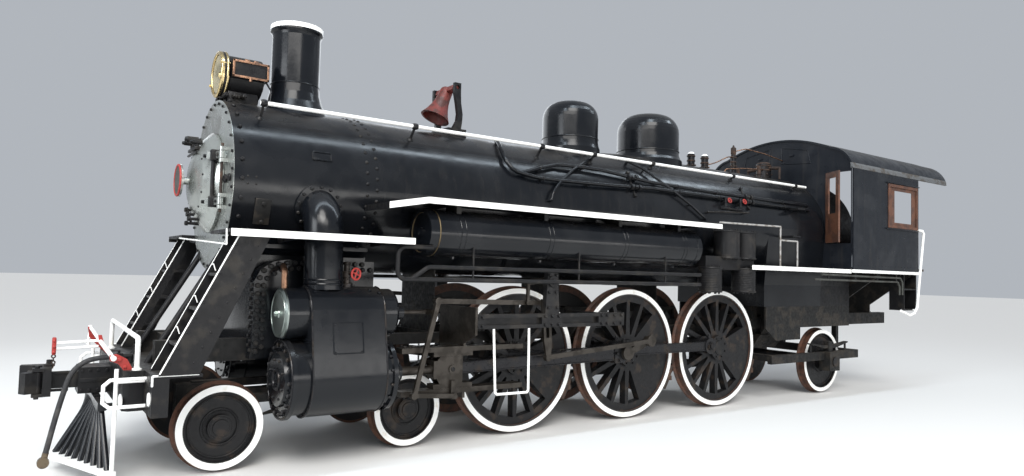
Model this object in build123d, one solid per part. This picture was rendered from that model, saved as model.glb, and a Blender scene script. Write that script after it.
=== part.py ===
"""A 4-6-2 steam locomotive without its tender, as named sub-parts, in millimetres.

While a piece is made, x is measured forwards from the front lead axle, y to the engine's own left
and z upwards from the rail head. place() then puts the origin under the middle of the engine, at
the lowest point of the wheel flanges.
"""

import os
from math import asin, atan2, cos, degrees, hypot, radians, sin, sqrt, tan

from build123d import *

# Running gear
FLANGE = 28
TYRE_BACK = 678
TYRE_WIDTH = 140
TYRE_THICK = 80
FLANGE_ROOT = 36
FLANGE_LAND = 14
DRIVER_RADIUS = 863.5
LEAD_RADIUS = 393.5
TRAILING_RADIUS = 533
LEAD_AXLES = (0, -1953)
DRIVER_AXLES = (-3413, -5296, -7178)
TRAILING_AXLE = -9980
LEAD_AXLE_R = 75
TRAILING_AXLE_R = 80
TRAILING_JOURNAL = 1080
SPOKES = 16
CRANK = 356
LEFT_CRANK_ANGLE = 8
RIGHT_CRANK_LEAD = 90
MAIN_ROD = 2640
PISTON_ROD_R = 48

# Cylinders and motion
CYLINDER_Y = 1080
CYLINDER_Z = 850
VALVE_Z = 1470
CYLINDER_FRONT = -500
CYLINDER_REAR = -1500
CYLINDER_CASE_R = 375
VALVE_CASE_R = 265

# Frame
FRAME_IN = 482
FRAME_OUT = 608
FRAME_TOP = 1200
FRAME_BAR = 120

# Boiler
BOILER_Z = 2752
SMOKEBOX_FRONT = 0
SMOKEBOX_REAR = -1500
SMOKEBOX_R = 885
SMOKEBOX_WALL = 24
BARREL_TAPER_FRONT = -4200
BARREL_TAPER_REAR = -5600
BARREL_REAR = -8200
FIREBOX_R = 985
FIREBOX_BOTTOM = 1480
FIREBOX_BOTTOM_HALF = 900
BACKHEAD_X = -10700
STACK_X = -830
STACK_TOP = 4592
STACK_BORE = 205
DOOR_R = 520
DOOR_Z = 2770

# Cab
CAB_FRONT = -9790
CAB_REAR = -12040
CAB_HALF = 1475
CAB_WALL = 25
CAB_BOTTOM = 2110
CAB_EAVE = 3890
CAB_CROWN = 4473
ROOF_REAR = -13150
ROOF_THICK = 30
FLOOR_TOP = 2180
FLOOR_UNDER = 2140

# Outer reach
COUPLER_REACH = 1570
BOARD_HALF = CAB_HALF - 20
BOARD_THICK = 30
BOARD_EDGE = 65

ORIGIN_X = (COUPLER_REACH + ROOF_REAR) / 2


def block(x0, x1, y0, y1, z0, z1):
    """A box between two corners."""
    size = Box(abs(x1 - x0), abs(y1 - y0), abs(z1 - z0))
    return Pos((x0 + x1) / 2, (y0 + y1) / 2, (z0 + z1) / 2) * size


def rod_x(radius, x0, x1, y, z):
    """A round bar along the engine."""
    return Pos((x0 + x1) / 2, y, z) * Rot(0, 90, 0) * Cylinder(radius, abs(x1 - x0))


def rod_y(radius, y0, y1, x, z):
    """A round bar across the engine."""
    return Pos(x, (y0 + y1) / 2, z) * Rot(90, 0, 0) * Cylinder(radius, abs(y1 - y0))


def rod_z(radius, z0, z1, x, y):
    """An upright round bar."""
    return Pos(x, y, (z0 + z1) / 2) * Cylinder(radius, abs(z1 - z0))


def side_plate(outline, y0, y1):
    """A plate seen from the side: its outline is a list of (x, z)."""
    face = Plane.XZ.offset(-y1) * make_face(Polyline(*outline, close=True))
    return extrude(face, amount=y1 - y0, dir=(0, -1, 0))


def cross_plate(outline, x0, x1):
    """A plate seen from the front: its outline is a list of (y, z)."""
    face = Plane.YZ.offset(x0) * make_face(Polyline(*outline, close=True))
    return extrude(face, amount=x1 - x0, dir=(1, 0, 0))


def flat_plate(outline, z0, z1):
    """A plate seen from above: its outline is a list of (x, y)."""
    face = Plane.XY.offset(z0) * make_face(Polyline(*outline, close=True))
    return extrude(face, amount=z1 - z0, dir=(0, 0, 1))


def pipe(points, radius, bend=None):
    """A round pipe or bar along straight runs joined by arcs."""
    path = Line(*points) if len(points) == 2 else FilletPolyline(*points, radius=bend)
    section = Plane(origin=path @ 0, z_dir=path % 0) * Circle(radius)
    return sweep(section, path=path)


def mitred_pipe(points, radius):
    """A pipe of straight lengths that meet at mitred joints."""
    path = Polyline(*points)
    section = Plane(origin=path @ 0, z_dir=path % 0) * Circle(radius)
    return sweep(section, path=path, transition=Transition.RIGHT)


def turned(profile, x=0, y=0):
    """A body of revolution about an upright axis: its profile is a list of (radius, z)."""
    face = Plane.XZ * make_face(Polyline(*profile, close=True))
    return Pos(x, y, 0) * revolve(face, Axis.Z)


def turned_x(profile, y, z):
    """A body of revolution about an axis along the engine: its profile is a list of (x, radius)."""
    face = Plane.XY * make_face(Polyline(*profile, close=True))
    return Pos(0, y, z) * revolve(face, Axis.X)


def turned_y(profile, x, z):
    """A body of revolution about an axis across the engine: its profile is a list of (radius, y)."""
    face = Plane.XY * make_face(Polyline(*profile, close=True))
    return Pos(x, 0, z) * revolve(face, Axis.Y)


def link_bar(start, end, radius_start, radius_end, y0, y1):
    """A flat bar between two round eyes, each given as (x, z)."""
    eyes = rod_y(radius_start, y0, y1, *start) + rod_y(radius_end, y0, y1, *end)
    run = atan2(end[1] - start[1], end[0] - start[0])
    side_x, side_z = -sin(run), cos(run)
    half = 0.7 * min(radius_start, radius_end)
    corners = [
        (start[0] + side_x * half, start[1] + side_z * half),
        (end[0] + side_x * half, end[1] + side_z * half),
        (end[0] - side_x * half, end[1] - side_z * half),
        (start[0] - side_x * half, start[1] - side_z * half),
    ]
    return eyes + side_plate(corners, y0, y1)


def both_sides(piece):
    """The piece and its mirror image on the other side of the engine."""
    return [piece, mirror(piece, Plane.XZ)]


def place(piece):
    """Move a piece from rail co-ordinates to the part's own origin."""
    return Pos(-ORIGIN_X, 0, FLANGE) * piece


def save(name, *pieces):
    """Write the solids of one sub-part."""
    solids = []
    for piece in pieces:
        for shape in piece if isinstance(piece, list) else [piece]:
            solids += place(shape).solids()
    export_step(Compound(children=solids), f"parts/{name}.step")


os.makedirs("parts", exist_ok=True)

# Envelopes that other pieces are cut against
smokebox_solid = rod_x(SMOKEBOX_R, SMOKEBOX_REAR, SMOKEBOX_FRONT, 0, BOILER_Z)
barrel = turned_x(
    [
        (SMOKEBOX_REAR, 0),
        (SMOKEBOX_REAR, SMOKEBOX_R),
        (BARREL_TAPER_FRONT, SMOKEBOX_R),
        (BARREL_TAPER_REAR, FIREBOX_R),
        (BARREL_REAR, FIREBOX_R),
        (BARREL_REAR, 0),
    ],
    0,
    BOILER_Z,
)


def firebox_section(grow=0):
    """The round-topped outline of the firebox, seen from the front."""
    radius = FIREBOX_R + grow
    low = FIREBOX_BOTTOM_HALF + grow
    dome = ThreePointArc((-radius, BOILER_Z), (0, BOILER_Z + radius), (radius, BOILER_Z))
    legs = Polyline(
        (radius, BOILER_Z),
        (low, FIREBOX_BOTTOM + 350),
        (low, FIREBOX_BOTTOM),
        (-low, FIREBOX_BOTTOM),
        (-low, FIREBOX_BOTTOM + 350),
        (-radius, BOILER_Z),
    )
    return make_face(dome + legs)


firebox = extrude(Plane.YZ.offset(CAB_FRONT) * firebox_section(), amount=BARREL_REAR - CAB_FRONT)
boiler_inside_cab = extrude(
    Plane.YZ.offset(BACKHEAD_X) * firebox_section(), amount=CAB_FRONT - BACKHEAD_X
)


# Wheels
def tyre(radius):
    """A tyre with its flange towards the middle of the track, left side."""
    back = TYRE_BACK
    face = TYRE_BACK + TYRE_WIDTH
    bore = radius - TYRE_THICK
    return turned_y(
        [
            (bore, back),
            (radius + FLANGE, back),
            (radius + FLANGE, back + FLANGE_LAND),
            (radius, back + FLANGE_ROOT),
            (radius, face),
            (bore, face),
        ],
        0,
        0,
    )


DRIVER_BORE = DRIVER_RADIUS - TYRE_THICK
RIM_DEPTH = 85
RIM_BACK = TYRE_BACK + 12
RIM_FACE = TYRE_BACK + TYRE_WIDTH - 22
HUB_R = 185
POCKET_IN = 250
HUB_FACE = 845
HUB_BACK = 668
AXLE_R = 112
SPOKE_ROOT = 74
SPOKE_TIP = 56
PIN_R = 62
MAIN_PIN_R = 76
ROD_BACK = 895
ROD_FACE = 975
PIN_END = 992


def driver_centre(counterweight_half_angle, pin_radius, crank_angle):
    """A spoked driving wheel centre at the origin, left side, with its crankpin."""
    rim_in = DRIVER_BORE - RIM_DEPTH
    disc = Circle(DRIVER_BORE)
    pockets = []
    pitch = 360 / SPOKES
    for count in range(SPOKES):
        middle = (count + 0.5) * pitch
        from_weight = abs((middle - crank_angle - 180 + 180) % 360 - 180)
        if from_weight < counterweight_half_angle:
            continue
        root = degrees(asin(SPOKE_ROOT / 2 / POCKET_IN))
        tip = degrees(asin(SPOKE_TIP / 2 / rim_in))
        corners = []
        for radius, angle in (
            (POCKET_IN, middle - pitch / 2 + root),
            (rim_in, middle - pitch / 2 + tip),
            (rim_in, middle + pitch / 2 - tip),
            (POCKET_IN, middle + pitch / 2 - root),
        ):
            corners.append((radius * cos(radians(angle)), radius * sin(radians(angle))))
        pockets.append(make_face(Polyline(*corners, close=True)))
    for pocket in pockets:
        disc -= pocket
    depth = RIM_FACE - RIM_BACK
    spider = extrude(Plane.XZ.offset(-RIM_FACE) * disc, amount=depth, dir=(0, -1, 0))
    pin_x = CRANK * cos(radians(crank_angle))
    pin_z = CRANK * sin(radians(crank_angle))
    spider += rod_y(HUB_R, HUB_BACK, HUB_FACE, 0, 0)
    boss = link_bar((0, 0), (pin_x, pin_z), HUB_R, 135, RIM_BACK, HUB_FACE)
    return spider + boss + rod_y(pin_radius, HUB_FACE, PIN_END, pin_x, pin_z)


# The crankpins' angles above straight ahead
left_angle = LEFT_CRANK_ANGLE
right_angle = LEFT_CRANK_ANGLE - RIGHT_CRANK_LEAD
# Each driving axle: its place, counterweight half angle and crankpin radius
DRIVERS = (
    (DRIVER_AXLES[0], 34, PIN_R),
    (DRIVER_AXLES[1], 58, MAIN_PIN_R),
    (DRIVER_AXLES[2], 34, PIN_R),
)
for number, (axle_x, weight_angle, pin_radius) in enumerate(DRIVERS, start=1):
    left = driver_centre(weight_angle, pin_radius, left_angle)
    right = mirror(driver_centre(weight_angle, pin_radius, right_angle), Plane.XZ)
    shaft = rod_y(AXLE_R, -RIM_BACK, RIM_BACK, 0, 0)
    wheels = Pos(axle_x, 0, DRIVER_RADIUS) * (left + shaft + right)
    save(f"driver_{number}_centres", wheels)
    ring = Pos(axle_x, 0, DRIVER_RADIUS) * tyre(DRIVER_RADIUS)
    save(f"driver_{number}_tyres", both_sides(ring))


def plain_wheelset(radius, hub_radius, axle_radius, journal):
    """Two solid-web wheels on their axle, at the origin; journal is the axle's half length."""
    back = TYRE_BACK
    face = TYRE_BACK + TYRE_WIDTH
    rim = radius - 75
    web_out = back + 100
    wheel = turned_y(
        [
            (0, back - 10),
            (hub_radius, back - 10),
            (hub_radius, back),
            (radius + FLANGE, back),
            (radius + FLANGE, back + FLANGE_LAND),
            (radius, back + FLANGE_ROOT),
            (radius, face),
            (rim, face),
            (rim, web_out),
            (hub_radius, web_out),
            (hub_radius, face + 14),
            (0, face + 14),
        ],
        0,
        0,
    )
    shaft = rod_y(axle_radius, -journal, journal, 0, 0)
    left, right = both_sides(wheel)
    return left + shaft + right


for name, axle_x in zip(("lead_wheelset_front", "lead_wheelset_rear"), LEAD_AXLES):
    save(name, Pos(axle_x, 0, LEAD_RADIUS) * plain_wheelset(LEAD_RADIUS, 120, LEAD_AXLE_R, 840))
trailing_set = plain_wheelset(TRAILING_RADIUS, 150, TRAILING_AXLE_R, TRAILING_JOURNAL)
save("trailing_wheelset", Pos(TRAILING_AXLE, 0, TRAILING_RADIUS) * trailing_set)



# Side rods, one for each side, on the three crankpins
def side_rod(crank_angle):
    """A coupling rod on three crankpins, left side."""
    pin_x = CRANK * cos(radians(crank_angle))
    pin_z = DRIVER_RADIUS + CRANK * sin(radians(crank_angle))
    # Each eye: its axle, radius and the clearance hole over the pin
    eyes = (
        (DRIVER_AXLES[0], 118, PIN_R),
        (DRIVER_AXLES[1], 145, MAIN_PIN_R),
        (DRIVER_AXLES[2], 118, PIN_R),
    )
    rod = side_plate(
        [
            (DRIVER_AXLES[0] + pin_x, pin_z + 66),
            (DRIVER_AXLES[0] + pin_x, pin_z - 66),
            (DRIVER_AXLES[2] + pin_x, pin_z - 66),
            (DRIVER_AXLES[2] + pin_x, pin_z + 66),
        ],
        ROD_BACK + 14,
        ROD_FACE - 14,
    )
    for axle_x, radius, _ in eyes:
        rod += rod_y(radius, ROD_BACK, ROD_FACE, axle_x + pin_x, pin_z)
    for axle_x, _, pin_radius in eyes:
        rod -= rod_y(pin_radius + 1, ROD_BACK - 5, ROD_FACE + 5, axle_x + pin_x, pin_z)
    return rod


save("side_rod_left", side_rod(left_angle))
save("side_rod_right", mirror(side_rod(right_angle), Plane.XZ))

# Main rods, crossheads and guides, fixed at their places in the photograph
MAIN_BACK = 1035
MAIN_FACE = 1125


def pin_point(crank_angle):
    """The middle of the main crankpin, as (x, z)."""
    x = DRIVER_AXLES[1] + CRANK * cos(radians(crank_angle))
    return x, DRIVER_RADIUS + CRANK * sin(radians(crank_angle))


def wrist_x(crank_angle):
    """Where the crosshead's pin stands for a crank angle."""
    x, z = pin_point(crank_angle)
    return x + sqrt(MAIN_ROD**2 - (z - CYLINDER_Z) ** 2)


def main_rod(crank_angle):
    """The rod from crosshead to main crankpin, left side, with its end of that pin."""
    pin = pin_point(crank_angle)
    wrist = (wrist_x(crank_angle), CYLINDER_Z)
    slope = atan2(wrist[1] - pin[1], wrist[0] - pin[0])
    # Distance along the rod from the crankpin, and half depth there
    depths = ((120, 88), (MAIN_ROD - 100, 62))
    outline = []
    for side in (1, -1):
        for along, half in depths if side == 1 else reversed(depths):
            x = pin[0] + along * cos(slope) - side * half * sin(slope)
            z = pin[1] + along * sin(slope) + side * half * cos(slope)
            outline.append((x, z))
    rod = side_plate(outline, MAIN_BACK + 12, MAIN_FACE - 12)
    strap = side_plate(
        [
            (
                pin[0] + along * cos(slope) - across * sin(slope),
                pin[1] + along * sin(slope) + across * cos(slope),
            )
            for along, across in ((-150, 125), (190, 125), (190, -125), (-150, -125))
        ],
        MAIN_BACK,
        MAIN_FACE,
    )
    rod += strap + rod_y(112, MAIN_BACK, MAIN_FACE, *wrist)
    return rod - rod_y(WRIST_R, MAIN_BACK - 5, MAIN_FACE + 5, *wrist)


WRIST_R = 48
GUIDE_TOP = 1095
GUIDE_BOTTOM = 590
GUIDE_BAR = 55
GUIDE_FRONT = -1690
GUIDE_REAR = -3250
GUIDE_HALF = 75
YOKE_X = -2455
YOKE_THICK = 30
YOKE_TOP = 1530
guide_y0 = CYLINDER_Y - GUIDE_HALF
guide_y1 = CYLINDER_Y + GUIDE_HALF


def crosshead(crank_angle):
    """An alligator crosshead between its two guides, with the piston rod, left side."""
    x = wrist_x(crank_angle)
    low = GUIDE_BOTTOM + GUIDE_BAR
    high = GUIDE_TOP - GUIDE_BAR
    slipper_top = block(x - 260, x + 230, CYLINDER_Y - 70, CYLINDER_Y + 70, high - 50, high)
    slipper_low = block(x - 260, x + 230, CYLINDER_Y - 70, CYLINDER_Y + 70, low, low + 50)
    cheek = [
        (x - 130, low + 50),
        (x + 150, low + 50),
        (x + 210, CYLINDER_Z - 70),
        (x + 210, CYLINDER_Z + 70),
        (x + 150, high - 50),
        (x - 130, high - 50),
    ]
    outer = side_plate(cheek, MAIN_FACE + 8, MAIN_FACE + 30)
    inner = side_plate(cheek, MAIN_BACK - 30, MAIN_BACK - 8)
    nose = block(x + 130, x + 230, MAIN_BACK - 30, MAIN_FACE + 30, CYLINDER_Z - 95, CYLINDER_Z + 95)
    pin = rod_y(WRIST_R - 1, MAIN_BACK - 40, MAIN_FACE + 45, x, CYLINDER_Z)
    piston_rod = rod_x(PISTON_ROD_R, x + 200, CYLINDER_REAR - 190, CYLINDER_Y, CYLINDER_Z)
    arm = block(x - 30, x + 30, MAIN_FACE + 8, 1195, low + 50, low + 90)
    arm += block(x - 30, x + 30, guide_y1 + 10, 1195, GUIDE_BOTTOM - 60, low + 90)
    return slipper_top + slipper_low + outer + inner + nose + pin + piston_rod + arm


save("crossheads", crosshead(left_angle), mirror(crosshead(right_angle), Plane.XZ))
save("main_rods", main_rod(left_angle), mirror(main_rod(right_angle), Plane.XZ))

guide_pair = block(GUIDE_REAR, GUIDE_FRONT, guide_y0, guide_y1, GUIDE_TOP - GUIDE_BAR, GUIDE_TOP)
guide_pair += block(
    GUIDE_REAR, GUIDE_FRONT, guide_y0, guide_y1, GUIDE_BOTTOM, GUIDE_BOTTOM + GUIDE_BAR
)
yoke = cross_plate(
    [
        (FRAME_OUT, 1000),
        (FRAME_OUT, YOKE_TOP),
        (1380, YOKE_TOP),
        (1380, 1230),
        (guide_y1, 1130),
        (guide_y1, GUIDE_TOP),
        (guide_y0 - 2, GUIDE_TOP),
        (guide_y0 - 2, GUIDE_BOTTOM),
        (guide_y1, GUIDE_BOTTOM),
        (guide_y1, GUIDE_BOTTOM - 60),
        (guide_y0 - 75, GUIDE_BOTTOM - 60),
        (guide_y0 - 75, 900),
        (700, 1000),
    ],
    YOKE_X - YOKE_THICK / 2,
    YOKE_X + YOKE_THICK / 2,
)
save("guide_bars", both_sides(guide_pair + yoke))

# Valve gear: the frame that carries it, its reverse shaft and the bracket behind
GEAR_IN = 1195
GEAR_MID = 1225
GEAR_OUT = 1260
GEAR_FACE = 1340
GEAR_LOW = 1290
GEAR_HIGH = 1450
REVERSE_SHAFT = (-3530, 1826)
REVERSE_SHAFT_R = 34
LIFT_EYE = (-3240, 1800)
gear_frame = block(YOKE_X - YOKE_THICK / 2, -4690, GEAR_OUT, GEAR_FACE, GEAR_LOW, GEAR_HIGH)
for slot_front, slot_rear in ((-2600, -3380), (-3680, -4260)):
    gear_frame -= block(
        slot_front, slot_rear, GEAR_OUT + 30, GEAR_FACE + 5, GEAR_LOW + 40, GEAR_HIGH - 40
    )
gear_frame += side_plate(
    [
        (-3640, GEAR_HIGH),
        (-3430, GEAR_HIGH),
        (-3460, 1965),
        (-3600, 1965),
    ],
    GEAR_OUT + 5,
    GEAR_FACE - 5,
)
gear_frame -= rod_y(REVERSE_SHAFT_R + 0.5, GEAR_OUT, GEAR_FACE, *REVERSE_SHAFT)
gear_frame += cross_plate(
    [
        (FRAME_OUT, 1090),
        (FRAME_OUT, GEAR_HIGH),
        (GEAR_OUT, GEAR_HIGH),
        (GEAR_OUT, 1300),
        (880, 1300),
        (660, 1090),
    ],
    -4370,
    -4338,
)
save("gear_frames", both_sides(gear_frame))

# Two brackets under the gear frame form a step
step_iron = mitred_pipe(
    [
        (-2715, 1330, GEAR_LOW),
        (-2755, 1330, 590),
        (-2780, 1330, 568),
        (-3190, 1330, 562),
        (-3210, 1330, 585),
        (-3200, 1330, GEAR_LOW),
    ],
    14,
)
gear_steps = both_sides(step_iron - gear_frame)

# Sizes of the valve gear's rods
LINK_PIVOT = (-3520, 1370)
LINK_HALF = 250
LINK_TAIL = 449
DIE_HEIGHT = 200
ECCENTRIC_R = 200
ECCENTRIC_ROD = 1770
LEVER_LENGTH = 1014
UNION_LENGTH = 502
LEVER_TOP_X = -2054


def two_circles(centre_a, radius_a, centre_b, radius_b):
    """The lower point where two circles meet; points are (x, z)."""
    gap = hypot(centre_b[0] - centre_a[0], centre_b[1] - centre_a[1])
    ux = (centre_b[0] - centre_a[0]) / gap
    uz = (centre_b[1] - centre_a[1]) / gap
    along = (radius_a**2 - radius_b**2 + gap**2) / (2 * gap)
    across = sqrt(radius_a**2 - along**2)
    points = []
    for side in (1, -1):
        x = centre_a[0] + along * ux - side * across * uz
        z = centre_a[1] + along * uz + side * across * ux
        points.append((x, z))
    return min(points, key=lambda point: point[1])


def between(start, end, share):
    """The point a share of the way from start to end."""
    return start[0] + (end[0] - start[0]) * share, start[1] + (end[1] - start[1]) * share


def valve_gear(crank_angle):
    """The outside valve gear, left side, at rest for a crank angle."""
    wrist = (wrist_x(crank_angle), GUIDE_BOTTOM - 20)
    low = (wrist[0] + UNION_LENGTH, 610)
    top = (LEVER_TOP_X, low[1] + sqrt(LEVER_LENGTH**2 - (low[0] - LEVER_TOP_X) ** 2))
    crank_pin = pin_point(crank_angle)
    eccentric_pin = (
        DRIVER_AXLES[1] + ECCENTRIC_R * cos(radians(crank_angle + 90)),
        DRIVER_RADIUS + ECCENTRIC_R * sin(radians(crank_angle + 90)),
    )
    foot = two_circles(LINK_PIVOT, LINK_TAIL, eccentric_pin, ECCENTRIC_ROD)
    lean = degrees(atan2(LINK_PIVOT[0] - foot[0], LINK_PIVOT[1] - foot[1]))
    die = between(LINK_PIVOT, foot, -DIE_HEIGHT / LINK_TAIL)
    stem = between(low, top, (VALVE_Z - low[1]) / (top[1] - low[1]))
    lifted = between(top, die, (LIFT_EYE[0] - top[0]) / (die[0] - top[0]))

    gear = link_bar(wrist, low, 34, 34, GEAR_IN, GEAR_MID)
    gear += link_bar(low, top, 36, 40, GEAR_MID, GEAR_OUT - 2)
    gear += link_bar(top, die, 38, 42, GEAR_IN, GEAR_MID)
    gear += rod_x(24, CYLINDER_REAR - 200, stem[0] - 30, CYLINDER_Y, VALVE_Z)
    gear += block(stem[0] - 30, stem[0] + 30, CYLINDER_Y - 35, GEAR_MID, VALVE_Z - 30, VALVE_Z + 30)
    # The expansion link, drawn upright about its pivot and then leaned over
    link = side_plate(
        [
            (-58, -LINK_HALF),
            (-30, -LINK_TAIL),
            (30, -LINK_TAIL),
            (58, -LINK_HALF),
            (58, LINK_HALF),
            (-58, LINK_HALF),
        ],
        GEAR_MID,
        GEAR_OUT - 2,
    )
    link += rod_y(40, GEAR_MID, GEAR_OUT - 2, 0, -LINK_TAIL)
    for slot_low, slot_high in ((-210, -60), (60, 210)):
        link -= block(-22, 22, GEAR_MID, GEAR_OUT, slot_low, slot_high)
    link += rod_y(44, GEAR_MID, GEAR_OUT, 0, 0)
    gear += Pos(LINK_PIVOT[0], 0, LINK_PIVOT[1]) * Rot(0, lean, 0) * link
    # Return crank and eccentric rod
    gear += link_bar(crank_pin, eccentric_pin, 92, 62, MAIN_FACE, MAIN_FACE + 58)
    gear += rod_y(36, MAIN_FACE + 58, GEAR_IN, *eccentric_pin)
    gear += link_bar(eccentric_pin, foot, 78, 40, GEAR_IN, GEAR_MID)
    # Lifting arm and hanger
    gear += link_bar(REVERSE_SHAFT, LIFT_EYE, 58, 30, GEAR_IN, GEAR_MID)
    gear += link_bar(LIFT_EYE, lifted, 26, 26, GEAR_MID, GEAR_OUT - 4)
    return gear


reverse_shaft = rod_y(REVERSE_SHAFT_R, -GEAR_FACE, GEAR_FACE, *REVERSE_SHAFT)
left_gear = valve_gear(left_angle)
right_gear = mirror(valve_gear(right_angle), Plane.XZ)
save("valve_gear", left_gear + reverse_shaft + right_gear)

# Main frame
PEDESTAL_HALF = 165
PEDESTAL_LEG = 100
BINDER_BOTTOM = 560
BOX_HALF_HEIGHT = 190
DECK_REAR = -12500
DECK_TOP = 985
POCKET_LOW = 1130
POCKET_HIGH = 1320
side_bar = block(560, -8000, FRAME_IN, FRAME_OUT, FRAME_TOP - FRAME_BAR, FRAME_TOP)
side_bar += block(-3000, -7620, FRAME_IN, FRAME_OUT, BINDER_BOTTOM, BINDER_BOTTOM + 80)
for axle_x in DRIVER_AXLES:
    reach = PEDESTAL_HALF + PEDESTAL_LEG
    side_bar += block(
        axle_x - reach, axle_x + reach, FRAME_IN, FRAME_OUT, BINDER_BOTTOM, FRAME_TOP - FRAME_BAR
    )
    side_bar += block(
        axle_x - PEDESTAL_HALF,
        axle_x + PEDESTAL_HALF,
        FRAME_IN - 20,
        FRAME_OUT + 30,
        DRIVER_RADIUS - BOX_HALF_HEIGHT,
        DRIVER_RADIUS + BOX_HALF_HEIGHT,
    )
side_bar += side_plate(
    [
        (-7900, FRAME_TOP),
        (-7900, FRAME_TOP - 180),
        (-8500, 1120),
        (DECK_REAR, 1120),
        (DECK_REAR, 1330),
        (-8700, 1330),
    ],
    FRAME_IN,
    FRAME_OUT,
)
for axle_x in DRIVER_AXLES:
    side_bar -= rod_y(AXLE_R + 6, 0, 1000, axle_x, DRIVER_RADIUS)
side_bar += block(560, -350, FRAME_IN, FRAME_OUT, DECK_TOP, FRAME_TOP)
# Pads under the firebox
for pad_x in (BARREL_REAR - 100, CAB_FRONT + 230):
    side_bar += block(pad_x, pad_x - 120, FRAME_IN, FRAME_OUT, 1250, FIREBOX_BOTTOM)
left_bar, right_bar = both_sides(side_bar)
rails = left_bar + right_bar
# Cross ties: front and rear face, bottom and top
TIES = (
    (380, 300, FRAME_TOP - 110, FRAME_TOP - 10),
    (-2420, -2500, FRAME_TOP - 110, FRAME_TOP - 10),
    (-4320, -4400, FRAME_TOP - 110, FRAME_TOP - 10),
    (-6200, -6280, FRAME_TOP - 110, FRAME_TOP - 10),
    (-8300, -8480, 1150, 1300),
    (-9900, -10000, 1150, 1300),
    (-11200, -11300, 1150, 1300),
    (DECK_REAR + 250, DECK_REAR + 50, POCKET_LOW, POCKET_HIGH),
)
for front, rear, low, high in TIES:
    rails += block(front, rear, -FRAME_IN, FRAME_IN, low, high)
# Sheets between the frame and the boiler's belly
for sheet_x in (-2460, -4360, -6240):
    rails += block(sheet_x - 7, sheet_x + 7, -420, 420, FRAME_TOP - 20, 2100) - barrel
# Hanging bracket with the bore for the trailing truck's pivot
TRAIL_PIVOT = -8390
TRAIL_PIN_R = 45
rails += block(TRAIL_PIVOT + 75, TRAIL_PIVOT - 75, -120, 120, 720, 1160)
rails -= rod_z(TRAIL_PIN_R + 1, 700, 905, TRAIL_PIVOT, 0)
# Cross beams that carry the cab
for beam_x in (-10850, -11950):
    rails += cross_plate(
        [
            (-FRAME_OUT, 1250),
            (-FRAME_OUT, 1480),
            (-1400, 2060),
            (-1400, FLOOR_UNDER),
            (1400, FLOOR_UNDER),
            (1400, 2060),
            (FRAME_OUT, 1480),
            (FRAME_OUT, 1250),
        ],
        beam_x - 14,
        beam_x + 14,
    )
save("frame_rails", rails)

# Leaf springs over the driving boxes
springs = []
for axle_x in DRIVER_AXLES:
    spring = side_plate(
        [
            (axle_x - 520, 1410),
            (axle_x - 520, 1385),
            (axle_x - 150, 1300),
            (axle_x + 150, 1300),
            (axle_x + 520, 1385),
            (axle_x + 520, 1410),
        ],
        500,
        590,
    )
    spring += block(axle_x - 60, axle_x + 60, 492, 598, FRAME_TOP, 1425)
    for end in (-495, 495):
        spring += block(axle_x + end - 16, axle_x + end + 16, 525, 565, FRAME_TOP, 1425)
    springs += both_sides(spring)
save("driver_springs", springs)

# Brake shoes behind the drivers, with their hangers and cross beams
SHOE_GAP = 12
SHOE_ANGLE = 25
SHOE_SPREAD = 11
brakes = []
for axle_x in DRIVER_AXLES:
    inner = DRIVER_RADIUS + SHOE_GAP
    outline = []
    for radius, angles in (
        (inner, (-SHOE_SPREAD, -SHOE_SPREAD / 2, 0, SHOE_SPREAD / 2, SHOE_SPREAD)),
        (inner + 55, (SHOE_SPREAD, 0, -SHOE_SPREAD)),
    ):
        for angle in angles:
            turn = radians(180 + SHOE_ANGLE + angle)
            outline.append((axle_x + radius * cos(turn), DRIVER_RADIUS + radius * sin(turn)))
    beam_x = axle_x - (inner + 60) * cos(radians(SHOE_ANGLE))
    beam_z = DRIVER_RADIUS - (inner + 60) * sin(radians(SHOE_ANGLE))
    brake = block(beam_x - 25, beam_x + 25, -815, 815, beam_z - 32, beam_z + 32)
    hanger = block(beam_x - 28, beam_x + 28, 628, 652, beam_z, 1150)
    hanger += block(beam_x - 22, beam_x + 22, FRAME_OUT, 652, 1105, 1150)
    for piece in both_sides(hanger + side_plate(outline, 722, 812)):
        brake += piece
    brakes.append(brake)
save("brake_rigging", brakes)


# Cylinder casting
SADDLE_HALF = CYLINDER_Y - CYLINDER_CASE_R + 20
SADDLE_FRONT = -255
SADDLE_UNDER = 960
SADDLE_NECK_HALF = 560
SADDLE_TOP = 2300
CHEEK_OUT = 800
CHEEK_UNDER = 1010
CHEEK_TOP = 1990
TRUCK_PIVOT = -976
CENTRE_PLATE_R = 190
CENTRE_PLATE_UNDER = 906
JACKET_FRONT = -640
JACKET_REAR = -1400
CYLINDER_R = 350
VALVE_R = 245
COVER_R = CYLINDER_CASE_R + 10
CASTING_GAP = 5


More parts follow.
